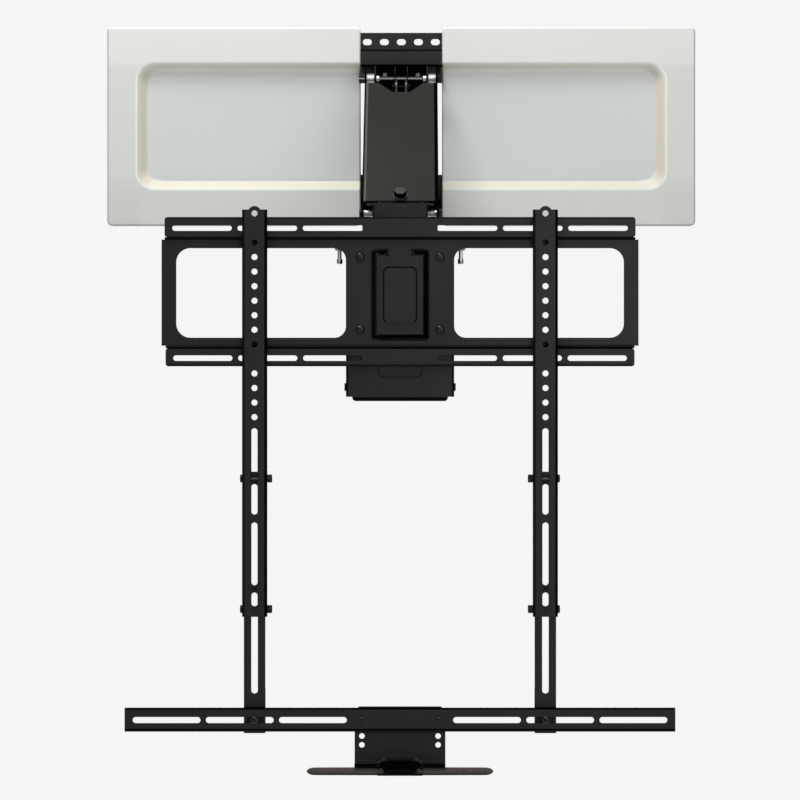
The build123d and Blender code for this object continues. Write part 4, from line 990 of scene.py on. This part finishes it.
@dataclass
class Covers:
    """Two moulded covers with a sunken tray that runs out at the centre opening.

    The front is a height field over X and Z. Its depth is the front plane, less a round-over at
    the outline, less the tray's depth times a smooth step between the tray's rim and its floor,
    less the dish of the floor, which is a parabola in X times one in Z.
    """

    inner: float = 60.6 * MM
    corner: float = 7.0 * MM
    edge_round: float = 3.0 * MM
    rim_half: tuple[float, float] = (395.0 * MM, 95.5 * MM)
    rim_corner: float = 27.0 * MM
    floor_half_width: float = 378.0 * MM
    floor_top: float = 85.0 * MM
    floor_bottom: float = -81.0 * MM
    floor_corner: float = 20.0 * MM
    tray_depth: float = 15.0 * MM
    dish: float = 2.5 * MM
    # Sizes of the painted shade at the edge and of the painted light under the top wall.
    edge_line: float = 2.2 * MM
    shadow_lift_drop: float = 17.0 * MM
    shadow_lift_speed: float = 4.0
    wall: float = 2.4 * MM
    edge: float = 0.4 * MM
    least: float = 1e-9
    skirt_gap: float = 0.6 * MM
    coarse: int = 30
    corner_steps: int = 9
    outer_steps: int = 34
    bottom_steps: int = 42
    top_steps: int = 36
    outer_margin: float = 1.0 * MM
    bottom_margins: tuple[float, float] = (17.0 * MM, 22.0 * MM)
    top_margins: tuple[float, float] = (22.0 * MM, 2.0 * MM)
    # Shape of the walls' painted shade and of the rim's painted highlight.
    slope_scale: float = 6.75
    slope_shade_lifted: float = 0.35
    lip_place: float = 0.1
    lip_spread: float = 0.12
    post_radius: float = 5.0 * MM
    post_sides: int = 24
    post_foot: float = 3.0 * MM
    post_height: float = 70.0 * MM
    post_places: tuple[float, ...] = (100.0 * MM, 235.0 * MM, 370.0 * MM)

    @staticmethod
    def outside(x: np.ndarray, z: np.ndarray, half: Sequence[float], corner: float) -> np.ndarray:
        """Signed distance from a rounded rectangle.

        It is the length of the overshoot beyond the rectangle's inner box, less the corner.

        Args:
            x: Distance of each point from the middle, across.
            z: Distance of each point from the middle, upwards.
            half: Half the rectangle's width and height.
            corner: Radius of its corners.

        Returns:
            Distance of each point, below zero inside.
        """
        over_x = np.abs(x) - (half[0] - corner)
        over_z = np.abs(z) - (half[1] - corner)
        reach = np.hypot(np.maximum(over_x, 0.0), np.maximum(over_z, 0.0))
        return reach + np.minimum(np.maximum(over_x, over_z), 0.0) - corner

    def sink(self, x: np.ndarray, z: np.ndarray) -> np.ndarray:
        """Share of the way down from the tray's rim to its floor: none on the rim, one on the floor.

        Args:
            x: Distance of each point from the middle plane.
            z: Height of each point.

        Returns:
            Share of each point.
        """
        rim = self.outside(x, z, self.rim_half, self.rim_corner)
        centre = (self.floor_top + self.floor_bottom) / 2
        half = (self.floor_half_width, (self.floor_top - self.floor_bottom) / 2)
        floor = self.outside(x, z - centre, half, self.floor_corner)
        share = held(-rim / np.maximum(floor - rim, self.least))
        return np.where(floor <= 0.0, 1.0, share)

    def bowl(self, x: np.ndarray, z: np.ndarray) -> np.ndarray:
        """Share of the floor's dish: one in its middle and none at its edge.

        Args:
            x: Distance of each point from the middle plane.
            z: Height of each point.

        Returns:
            Share of each point.
        """
        centre = (self.floor_top + self.floor_bottom) / 2
        across = np.clip(x / self.floor_half_width, -1.0, 1.0)
        upward = np.clip((z - centre) / (self.floor_top - centre), -1.0, 1.0)
        return (1.0 - across ** 2) * (1.0 - upward ** 2)

    def stations(self, low: float, high: float, *busy: tuple[float, float, int]) -> np.ndarray:
        """Stations of the grid, with more of them in busy stretches, each given as start, end and count."""
        parts = [np.linspace(*stretch) for stretch in ((low, high, self.coarse), *busy)]
        return np.unique(np.round(np.concatenate(parts), 6))

    def marks(self, x: np.ndarray, z: np.ndarray, share: np.ndarray, inset: np.ndarray,
              half: float) -> dict[str, np.ndarray]:
        """Factors of painted light and shade that the plastic reads, each from zero to one.

        The tray floor's factor marks a painted cool reflection with painted shade; the top rim's marks
        painted light, and the side rims' painted shade. The walls' painted shade is the share's square
        times what is left of it, scaled so that it peaks at one, two thirds of the way down, and is
        weaker along the top wall. The painted light that lifts the top wall's cast shadow off the floor
        fades in over the drop below the tray's top wall. The painted highlight along the rim falls off
        on both sides of its place on the way. The painted shade of the round-over at the edge runs
        along the bottom and the outer end, and falls off over the edge line.

        Args:
            x: Distance of each point from the middle plane.
            z: Height of each point.
            share: Share of the way down to the tray's floor.
            inset: Distance of each point from the outline.
            half: Half the cover's height.

        Returns:
            Factors by name.
        """
        upper = held((z - self.floor_top) / (self.rim_half[1] - self.floor_top))
        side = held((x - self.floor_half_width) / (self.rim_half[0] - self.floor_half_width))
        above_bottom = held((z - self.floor_bottom) / self.rim_corner + 0.5)
        below_top = held((half - self.edge_line - z) / self.edge_line)
        shadow_lift = held((z - self.floor_top) / self.shadow_lift_drop + 1.0)
        near_edge = held(1.0 - inset / self.edge_line)
        return {
            "floor": share, "upper": upper, "side": side * (1.0 - upper),
            "shadow_lift": shadow_lift * held(self.shadow_lift_speed * share),
            "slope_shade": self.slope_scale * share ** 2 * (1.0 - share) * (1.0 - self.slope_shade_lifted * shadow_lift),
            "lip_highlight": held(1.0 - np.abs(share - self.lip_place) / self.lip_spread) * above_bottom,
            "edge": near_edge * below_top * np.where(z < 0.0, 1.0, side)}

    def plan(self, outer: float, half: float) -> tuple[np.ndarray, np.ndarray]:
        """Grid over the front in X and Z, whose corner squares are bent to the rounded corners.

        Args:
            outer: Distance of the outer end from the middle plane.
            half: Half the cover's height.

        Returns:
            X and Z of each point, for the right cover.
        """
        c, steps = self.corner, self.corner_steps
        below, above = self.bottom_margins
        x = self.stations(
            self.inner, outer, (self.inner, self.inner + c, steps), (outer - c, outer, steps),
            (self.rim_half[0] - self.rim_corner, self.rim_half[0] + self.outer_margin, self.outer_steps))
        z = self.stations(
            -half, half, (-half, -half + c, steps), (half - c, half, steps),
            (self.floor_bottom - below, self.floor_bottom + above, self.bottom_steps),
            (self.floor_top - self.top_margins[0], self.rim_half[1] + self.top_margins[1], self.top_steps))
        x, z = np.meshgrid(x, z, indexing="ij")
        middle_x, half_x = (self.inner + outer) / 2, (outer - self.inner) / 2
        a = (np.abs(x - middle_x) - (half_x - c)) / c
        b = (np.abs(z) - (half - c)) / c
        corner = (a > 0) & (b > 0)
        a_in, b_in = np.clip(a, 0, 1), np.clip(b, 0, 1)
        round_a = np.where(corner, a_in * np.sqrt(1 - b_in ** 2 / 2), a)
        round_b = np.where(corner, b_in * np.sqrt(1 - a_in ** 2 / 2), b)
        return (middle_x + np.sign(x - middle_x) * (half_x - c + round_a * c),
                np.sign(z) * (half - c + round_b * c))

    def front(self, side: int) -> Piece:
        """Front skin with its outline, round-over and skirt, thickened inwards.

        Args:
            side: One for the right cover, minus one for the left.

        Returns:
            The cover's shell.
        """
        low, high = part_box("cover_right")
        x, z = self.plan(high.x, high.z)
        half = ((high.x - self.inner) / 2, high.z)
        inset = -self.outside(x - (self.inner + high.x) / 2, z, half, self.corner)
        r = self.edge_round
        drop = r - np.sqrt(np.maximum(r * r - np.clip(r - inset, 0.0, r) ** 2, 0.0))
        share = self.sink(x, z)
        smooth = share ** 2 * (2.0 - share)
        depth = -low.y - drop - self.tray_depth * smooth - self.dish * self.bowl(x, z)
        points = np.stack((side * x, -depth, z), -1).reshape(-1, 3)
        index = np.arange(len(points)).reshape(x.shape)
        loop = np.concatenate((index[:, 0], index[-1, 1:], index[-2::-1, -1], index[0, -2:0:-1]))
        rim = points[loop].copy()
        rim[:, 1] = -self.skirt_gap
        here = np.arange(len(loop))
        after = (here + 1) % len(loop)
        skirt = np.stack((loop, loop[after], len(points) + after, len(points) + here), -1)
        values = {mark: np.concatenate((factor.ravel(), factor.ravel()[loop]))
                  for mark, factor in self.marks(x, z, share, inset, high.z).items()}
        piece = link(
            f"cover_shell_{SIDES[side]}", np.concatenate((points, rim)),
            np.concatenate((grid_faces(*x.shape, wrap=False), skirt)), Finish.WHITE.material(), values)
        shell = piece.modifiers.new("wall", "SOLIDIFY")
        shell.thickness = self.wall
        shell.offset = -1.0
        soften(piece, self.edge, limit=40.0)
        return piece

    def posts(self, side: int) -> Piece:
        """Round posts behind the tray's floor, which stand on the wall plate.

        Args:
            side: One for the right cover, minus one for the left.

        Returns:
            All posts of one cover.
        """
        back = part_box("cover_right")[0].y + self.tray_depth + self.wall / 2
        angle = np.linspace(0.0, 2 * math.pi, self.post_sides, endpoint=False)
        ring = grid_faces(2, self.post_sides, wrap=True)
        places = [(x, z) for x in self.post_places for z in (-self.post_height, self.post_height)]
        circles = [
            np.stack((side * x + self.post_radius * np.cos(angle), np.full(self.post_sides, y),
                      z + self.post_radius * np.sin(angle)), -1)
            for x, z in places for y in (-self.post_foot, back)]
        faces = [ring + 2 * self.post_sides * number for number in range(len(places))]
        return link(f"cover_posts_{SIDES[side]}", np.concatenate(circles), np.concatenate(faces),
                    Finish.WHITE.material())

    def build(self) -> None:
        """Makes both covers with their posts."""
        for side, word in SIDES.items():
            seat(self.front(side), "root", Finish.WHITE, f"cover_{word}")
            seat(self.posts(side), "root", Finish.WHITE)


@dataclass
class CrossBolt:
    """Bolt along X with a round head, and its nut, both at one pivot."""

    bolt: str
    nut: str
    body: str
    finish: Finish = Finish.OXIDE
    shank: float = 4.0 * MM
    socket: float = 2.5 * MM
    socket_depth: float = 2.0 * MM
    head_round: float = 0.7 * MM
    chamfer: float = 0.9 * MM
    thread: Thread = Thread(1.25 * MM, 0.45 * MM, 0.8 * MM)
    bore_share: float = 0.99
    faced: float = 0.15

    def head(self, face: float, seat_x: float, radius: float) -> Rings:
        """Rings of a round head with a hexagonal socket, from the socket's floor to the seat.

        Args:
            face: Station of the head's face.
            seat_x: Station of the head's seat.
            radius: Radius of the head.

        Returns:
            The rings.
        """
        floor = face + self.socket_depth
        return [
            (floor, 0.0), (floor, self.socket, 1.0), (face, self.socket, 1.0),
            (face, radius - self.head_round), (face + self.head_round, radius), (seat_x, radius)]

    def shaft(self) -> Rings:
        """Rings of the plain shank between the head and the thread."""
        return []

    def build(self) -> None:
        """Turns the bolt from head to tail, then the nut round its tail."""
        low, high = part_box(self.bolt)
        nut_low, nut_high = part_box(self.nut)
        place = (0.0, *middle(self.bolt)[1:])
        rings = self.head(low.x, -nut_low.x, (high.y - low.y) / 2)
        rings += [(-nut_low.x, self.shank), *self.shaft()]
        rings += self.thread.rings(nut_low.x - self.chamfer, high.x, self.shank)
        turned(f"{self.bolt}_turned", rings, place, Axis.ACROSS, self.finish, self.body, self.bolt)
        flat, bore = (nut_high.y - nut_low.y) / 2, self.shank * self.bore_share
        nut_rings = [
            (nut_low.x, bore), (nut_low.x, flat, 1.0), (nut_high.x - self.chamfer, flat, 1.0),
            (nut_high.x, flat, self.faced), (nut_high.x, bore)]
        turned(f"{self.nut}_turned", nut_rings, place, Axis.ACROSS, Finish.OXIDE, self.body, self.nut)


@dataclass
class LongBolt(CrossBolt):
    """Hexagon bolt along X with a thinner shank in its middle."""

    finish: Finish = Finish.BLUE_ZINC
    face_share: float = 0.9
    waist: float = 32.6 * MM
    waist_radius: float = 2.6 * MM

    def head(self, face: float, seat_x: float, radius: float) -> Rings:
        """Rings of a hexagonal head whose face is turned off to a circle."""
        return [(face, 0.0), (face, self.face_share * radius), (face + self.chamfer, radius, 1.0),
                (seat_x, radius, 1.0)]

    def shaft(self) -> Rings:
        """Rings of the waist between the collars."""
        return [(-self.waist, self.shank), (-self.waist, self.waist_radius),
                (self.waist, self.waist_radius), (self.waist, self.shank)]


@dataclass
class RingPair:
    """Plain rings on both sides of a cross bolt.

    The steps are stations from the middle plane and radii, in millimetres, from the inner face
    to the outer one.
    """

    node: str
    body: str
    steps: Steps
    bore: float = 4.0 * MM
    chamfer: float = 0.5 * MM

    def build(self) -> None:
        """Turns both rings: up the steps to the chamfered outer face, and back through the bore."""
        place = (0.0, *middle(self.node)[1:])
        for side, word in SIDES.items():
            *steps, (face, radius) = profile(self.steps, way=side)
            rings = [
                (side * self.steps[0][0] * MM, self.bore), *steps, (face - side * self.chamfer, radius),
                (face, radius - self.chamfer), (face, self.bore)]
            turned(f"{self.node}_{word}", rings, place, Axis.ACROSS, Finish.SLEEVE, self.body,
                   *owned(self.node, side < 0))


@dataclass
class WallBracket:
    """Wall plate, pivot channel, cross channel and strut anchor, with their hardware."""

    rivet_head: float = 2.0 * MM
    dome_steps: int = 7

    def rivets(self) -> None:
        """Domed rivets: the radius falls as a quarter circle towards the top."""
        low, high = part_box("anchor_rivets")
        radius = (high.z - low.z) / 2
        seat_y = low.y + self.rivet_head
        turns = np.linspace(0.0, math.pi / 2, self.dome_steps)
        rings = [(seat_y - self.rivet_head * math.sin(turn), radius * math.cos(turn)) for turn in turns]
        for number, x in enumerate((low.x + radius, high.x - radius), 1):
            turned(f"anchor_rivet_{number}", [(seat_y, 0.0), *rings], (x, 0.0, low.z + radius), Axis.DEPTH,
                   Finish.PALE_ZINC, "root", *owned("anchor_rivets", number == 1), sides=24, edge=0.0)

    def build(self) -> None:
        """Makes every piece that stays on the wall."""
        pressed("wall_plate", "root", Finish.WALL)
        pressed("pivot_channel", "root", Finish.CHANNEL)
        pressed("spring_anchor", "root", Finish.CHANNEL)
        pressed("cross_channel", "root", Finish.CROSS)
        pressed("anchor_pin", "root", Finish.SHADED_PIN, edge=0.2)
        LongBolt("upper_wall_bolt", "upper_wall_nut", "root").build()
        CrossBolt("lower_wall_bolt", "lower_wall_nut", "root").build()
        RingPair("upper_wall_bushings", "root", ((39.8, 7.65), (51.4, 7.65))).build()
        RingPair("upper_wall_collars", "root", ((32.6, 4.8), (37.3, 4.8))).build()
        RingPair("lower_wall_spacers", "root", ((34.1, 6.5), (37.3, 6.5))).build()
        self.rivets()


@dataclass
class Arms:
    """Upper and lower arms, with the hexagon bolt, washer and block on the upper one."""

    face_normal: Point = (0.0, -0.6033, 0.7975)
    facing_share: float = 0.5

    def mark_flanks(self, mesh: bpy.types.Mesh) -> None:
        """Marks a bolt's faces that don't face along the arm's normal, which get painted shade.

        Args:
            mesh: Mesh of the bolt.
        """
        normals = np.zeros(3 * len(mesh.polygons))
        mesh.polygons.foreach_get("normal", normals)
        facing = np.abs(normals.reshape(-1, 3) @ np.array(self.face_normal))
        shaded_flank = (facing < self.facing_share).astype(float)
        mesh.attributes.new("shaded_flank", "FLOAT", "FACE").data.foreach_set("value", shaded_flank)

    def build(self) -> None:
        """Makes both arms."""
        pressed("upper_arm", "upper_arm", Finish.ARM, edge=0.4)
        self.mark_flanks(pressed("arm_hex_bolt", "upper_arm", Finish.HEXAGON, edge=0.6).data)
        pressed("arm_washer", "upper_arm", Finish.HEXAGON, edge=0.3)
        pressed("strut_block", "upper_arm", Finish.ARM, edge=0.4)
        pressed("strut_block_pin", "upper_arm", Finish.BRIGHT_ACROSS, edge=0.3)
        pressed("lower_arm", "lower_arm", Finish.ARM, edge=0.4)


class GasStrut:
    """Gas cylinder, rod and fork."""

    def build(self) -> None:
        """Makes the strut."""
        pressed("strut_cylinder", "strut_cylinder", Finish.LACQUER, edge=0.5)
        pressed("strut_rod", "strut_rod", Finish.BRIGHT_UPRIGHT, edge=0.2)
        pressed("strut_fork", "strut_rod", Finish.LACQUER, edge=0.4)


class CarrierGroup:
    """Carrier with its cross bolts, bushings and swivel pin, and the tilt bracket on it."""

    def build(self) -> None:
        """Makes the carrier and its hardware."""
        pressed("carrier", "carrier", Finish.STEEL)
        CrossBolt("upper_head_bolt", "upper_head_nut", "carrier").build()
        CrossBolt("lower_head_bolt", "lower_head_nut", "carrier").build()
        bushing = ((38.5, 5.0), (41.7, 5.0), (41.7, 5.8), (51.4, 5.8))
        RingPair("upper_head_bushings", "carrier", bushing).build()
        RingPair("lower_head_spacers", "carrier", ((34.1, 6.5), (36.0, 6.5))).build()
        pressed("swivel_pin", "carrier", Finish.OXIDE, edge=0.2)
        pressed("swivel_clip", "carrier", Finish.OXIDE, edge=0.2)
        pressed("swivel_washers", "carrier", Finish.BRIGHT_UPRIGHT, edge=0.2)
        pressed("tilt_bracket", "swivel", Finish.STEEL)


@dataclass
class ButtonBolt:
    """Button-head bolt along the depth, its head domed, its socket hexagonal and its shank threaded.

    The place is its X and Z. The socket's depth and the dome's are shares of the head's height,
    and the rim round the socket is a share of the socket's radius.
    """

    name: str
    place: tuple[float, float]
    seat_y: float
    tail_y: float
    radius: float
    height: float
    shank: float = 3.0 * MM
    socket: float = 1.7 * MM
    socket_share: float = 0.55
    dome_share: float = 0.8
    rim_share: float = 1.25
    dome_steps: int = 6
    neck: float = 0.5 * MM
    thread: Thread = Thread(1.0 * MM, 0.35 * MM, 0.6 * MM)

    def build(self, body: str, *nodes: str) -> None:
        """Turns the bolt.

        Over a quarter turn, the dome's radius grows as the sine and its height falls as what the
        cosine leaves of one.

        Args:
            body: Body that it moves with.
            *nodes: Nodes that it stands for.
        """
        top = self.seat_y - self.height
        floor = top + self.height * self.socket_share
        rim = self.socket * self.rim_share
        rings = [(floor, 0.0), (floor, self.socket, 1.0), (top, self.socket, 1.0)]
        for turn in np.linspace(0.0, math.pi / 2, self.dome_steps):
            rings.append((top + self.height * self.dome_share * (1 - math.cos(turn)),
                          rim + (self.radius - rim) * math.sin(turn)))
        rings += [(self.seat_y, self.radius), (self.seat_y, self.shank)]
        rings += self.thread.rings(self.seat_y + self.neck, self.tail_y, self.shank)
        place = (self.place[0], 0.0, self.place[1])
        turned(self.name, rings, place, Axis.DEPTH, Finish.POLISHED, body, *nodes, edge=0.1 * MM)


@dataclass
class Head:
    """Housing, head frame, their bolts, and the levelling pins.

    The barrel is the lower end of a levelling pin: heights above its foot and radii, in
    millimetres.
    """

    bolt_half_spacing: float = 55.0 * MM
    bolt_radius: float = 5.5 * MM
    bolt_height: float = 3.2 * MM
    pin_half_spacing: float = 84.0 * MM
    pin_radius: float = 2.9 * MM
    barrel: Steps = ((7.8, 2.9), (7.4, 4.1), (1.6, 4.1), (0.6, 3.7), (0.0, 2.8), (0.0, 0.0))

    def bolts(self) -> None:
        """Four button-head bolts in the head frame."""
        low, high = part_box("frame_bolts")
        size = (low.y + self.bolt_height, high.y, self.bolt_radius, self.bolt_height)
        for side, word in SIDES.items():
            for number, z in enumerate((low.z + self.bolt_radius, high.z - self.bolt_radius), 1):
                bolt = ButtonBolt(f"frame_bolt_{word}_{number}", (side * self.bolt_half_spacing, z), *size)
                bolt.build("head", *owned("frame_bolts", side < 0 and number == 1))

    def levelling(self) -> None:
        """Two bright pins: a thin neck, a thicker barrel and a slot-less rounded end."""
        low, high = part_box("level_pins")
        rings = [(high.z, 0.0), (high.z, self.pin_radius), *profile(self.barrel, low.z)]
        for side, word in SIDES.items():
            place = (side * self.pin_half_spacing, (low.y + high.y) / 2, 0.0)
            turned(f"level_pin_{word}", rings, place, Axis.UPRIGHT, Finish.BRIGHT_UPRIGHT, "head",
                   *owned("level_pins", side < 0))

    def build(self) -> None:
        """Makes the head."""
        pressed("housing", "head", Finish.HOUSING, edge=0.5)
        pressed("head_frame", "head", Finish.FRAME)
        pressed("tilt_screws", "head", Finish.OXIDE, edge=0.4)
        pressed("level_tabs", "head", Finish.ZINC, edge=0.3)
        self.bolts()
        self.levelling()


@dataclass
class Straps:
    """Straps, extensions and the clamp bolts between them.

    The bolt's head and the knob are given from the strap's outer and inner side, in millimetres,
    as distances and radii and, for the knob, the shares of hexagon and flutes.
    """

    bolt_radius: float = 5.5 * MM
    shank: float = 3.0 * MM
    neck: float = 3.0 * MM
    thread: Thread = Thread(1.0 * MM, 0.3 * MM, 0.4 * MM)
    head: Steps = ((3.0, 0.0), (3.0, 4.6), (2.2, 5.5), (0.0, 5.5), (0.0, 3.0))
    knob: Steps = (
        (0.0, 2.95), (0.0, 5.2), (0.5, 5.5, 0.0, 1.0), (5.9, 5.5, 0.0, 1.0), (6.8, 4.8), (6.8, 2.95))
    knurls: int = 24
    knurl_depth: float = 0.35 * MM

    def clamp(self, side: int, place: Point, tag: str, first: bool) -> None:
        """One turned bolt through both channels, and the knurled nut on its inner end.

        Args:
            side: One for the right strap, minus one for the left.
            place: Point on the bolt's axis.
            tag: End of the pieces' names.
            first: Whether the pieces stand for the nodes.
        """
        low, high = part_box("strap_right")
        knob_rings = profile(self.knob, side * low.x, -side)
        rings = profile(self.head, side * high.x, side)
        rings += self.thread.rings(side * (low.x + self.neck), knob_rings[-1][0], self.shank)
        turned(f"clamp_bolt_{tag}", rings, place, Axis.ACROSS, Finish.OXIDE, "head",
               *owned("clamp_bolts", first))
        turned(f"clamp_knob_{tag}", knob_rings, place, Axis.ACROSS, Finish.OXIDE, "head",
               *owned("clamp_knobs", first), sides=96, flutes=self.knurls, flute_depth=self.knurl_depth)

    def build(self) -> None:
        """Makes the straps and extensions."""
        for word in SIDES.values():
            pressed(f"strap_{word}", "head", Finish.STRAP)
        for word in SIDES.values():
            pressed(f"extension_{word}", "bar", Finish.BAR)
        pressed("strap_lock_screws", "head", Finish.OXIDE, edge=0.2)
        low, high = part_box("clamp_bolts")
        heights = (low.z + self.bolt_radius, high.z - self.bolt_radius)
        for side, word in SIDES.items():
            for number, z in enumerate(heights, 1):
                place = (0.0, (low.y + high.y) / 2, z)
                self.clamp(side, place, f"{word}_{number}", side < 0 and number == 1)


@dataclass
class BarGroup:
    """Soundbar bar, its bolts and the handle bracket.

    The bracket's nuts are given from the bolts' ends, in millimetres, as distances, radii and
    shares of hexagon.
    """

    strap_half_spacing: float = 200.0 * MM
    bracket_half_spacing: float = 52.4 * MM
    nut: Steps = ((0.0, 2.95), (0.0, 4.5, 0.3), (0.8, 4.5, 1.0), (5.0, 4.5, 1.0), (5.0, 2.95))
    arch_half: float = 28.0 * MM
    hem_end: float = -894.6 * MM
    edging_radius: float = 1.2 * MM
    plug_length: float = 3.6 * MM
    plug_radius: float = 3.5 * MM

    def bolts(self) -> None:
        """Button-head bolts at the extensions and at the handle bracket."""
        for node, half, radius, height in (
                ("bar_bolts", self.strap_half_spacing, 5.4 * MM, 3.0 * MM),
                ("bracket_bolts", self.bracket_half_spacing, 3.9 * MM, 1.6 * MM)):
            low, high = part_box(node)
            for side, word in SIDES.items():
                place = (side * half, (low.z + high.z) / 2)
                bolt = ButtonBolt(f"{node}_{word}", place, low.y + height, high.y, radius, height)
                bolt.build("bar", *owned(node, side < 0))

    def bracket_nuts(self) -> None:
        """Hexagon nuts behind the handle bracket, round the ends of its bolts."""
        low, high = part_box("bracket_bolts")
        rings = profile(self.nut, high.y, -1)
        for side, word in SIDES.items():
            place = (side * self.bracket_half_spacing, 0.0, (low.z + high.z) / 2)
            turned(f"bracket_nut_{word}", rings, place, Axis.DEPTH, Finish.OXIDE, "bar")

    def edging(self) -> None:
        """Rubber strips along the bracket's hems, whose thicker inner ends close the gap above the grips."""
        low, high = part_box("handle_bracket")
        place = (0.0, low.y + 2 * self.edging_radius, self.hem_end - self.edging_radius / 2)
        start, step, end = self.arch_half, self.arch_half + self.plug_length, high.x
        half = ((start, 0.0), (start, self.plug_radius), (step, self.plug_radius),
                (step, self.edging_radius), (end, self.edging_radius), (end, 0.0))
        for side, word in SIDES.items():
            rings = [(side * station, radius) for station, radius in half]
            # The strips take the core's darker coat, which is painted shade.
            turned(f"bracket_edging_{word}", rings, place, Axis.ACROSS, Finish.CORE, "bar", sides=12)

    def build(self) -> None:
        """Makes the bar and its bracket."""
        pressed("soundbar_bar", "bar", Finish.BAR)
        pressed("handle_bracket", "bar", Finish.BRACKET)
        pressed("bar_nuts", "bar", Finish.OXIDE, edge=0.3)
        self.bolts()
        self.bracket_nuts()
        self.edging()


@dataclass
class PullHandle:
    """Steel core and two foam grips.

    A grip is a tube turned about X. Its radius rises along a quarter ellipse at the nose, then
    falls evenly to the outer end, less a slow ripple, and closes along another quarter ellipse.
    """

    bore: float = 2.6 * MM
    nose: float = 11.4 * MM
    outer_radius: float = 5.3 * MM
    end_round: float = 11.0 * MM
    ripple: float = 0.08 * MM
    ripple_waves: tuple[float, float] = (310.0, 97.0)
    nose_steps: int = 14
    length_steps: int = 60
    end_steps: int = 12
    sides: int = 60

    def grip(self, side: int) -> None:
        """One foam grip.

        Args:
            side: One for the right grip, minus one for the left.
        """
        low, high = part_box("grip_right")
        radius = (high.z - low.z) / 2
        first = math.asin(self.bore / radius)
        nose_end = low.x - self.nose * (1 - math.sqrt(1 - (self.bore / radius) ** 2)) + self.nose
        straight = np.linspace(nose_end, high.x - self.end_round, self.length_steps)[1:]
        share = (straight - nose_end) / (straight[-1] - nose_end)
        fast, slow = (np.sin(straight * wave + shift) for wave, shift in zip(self.ripple_waves, (0.0, side)))
        ripple = self.ripple * share * (0.5 + 0.5 * fast * slow)
        radii = radius + (self.outer_radius - radius) * share - ripple
        opening = np.linspace(first, math.pi / 2, self.nose_steps)
        closing = np.linspace(0.0, math.pi / 2, self.end_steps)[1:-1]
        half = [(nose_end - self.nose * math.cos(turn), radius * math.sin(turn)) for turn in opening]
        half += zip(straight.tolist(), radii.tolist())
        half += [
            (straight[-1] + self.end_round * math.sin(turn), radii[-1] * math.cos(turn)) for turn in closing]
        rings = [(side * station, radius) for station, radius in (*half, (high.x, 0.0))]
        node = f"grip_{SIDES[side]}"
        place = (0.0, *middle("grip_right")[1:])
        turned(f"{node}_foam", rings, place, Axis.ACROSS, Finish.FOAM, "bar", node,
               sides=self.sides, edge=0.0)

    def build(self) -> None:
        """Makes the handle."""
        pressed("handle_core", "bar", Finish.CORE, edge=0.5)
        for side in SIDES:
            self.grip(side)


def main() -> None:
    """Builds the studio, then the mount from the wall outwards."""
    logging.basicConfig(level=logging.INFO, format="%(message)s")
    Studio().build()
    for assembly in (WallBracket, Covers, Arms, GasStrut, CarrierGroup, Head, Straps, BarGroup, PullHandle):
        log.info("building %s", assembly.__name__)
        assembly().build()


if __name__ == "__main__":
    main()
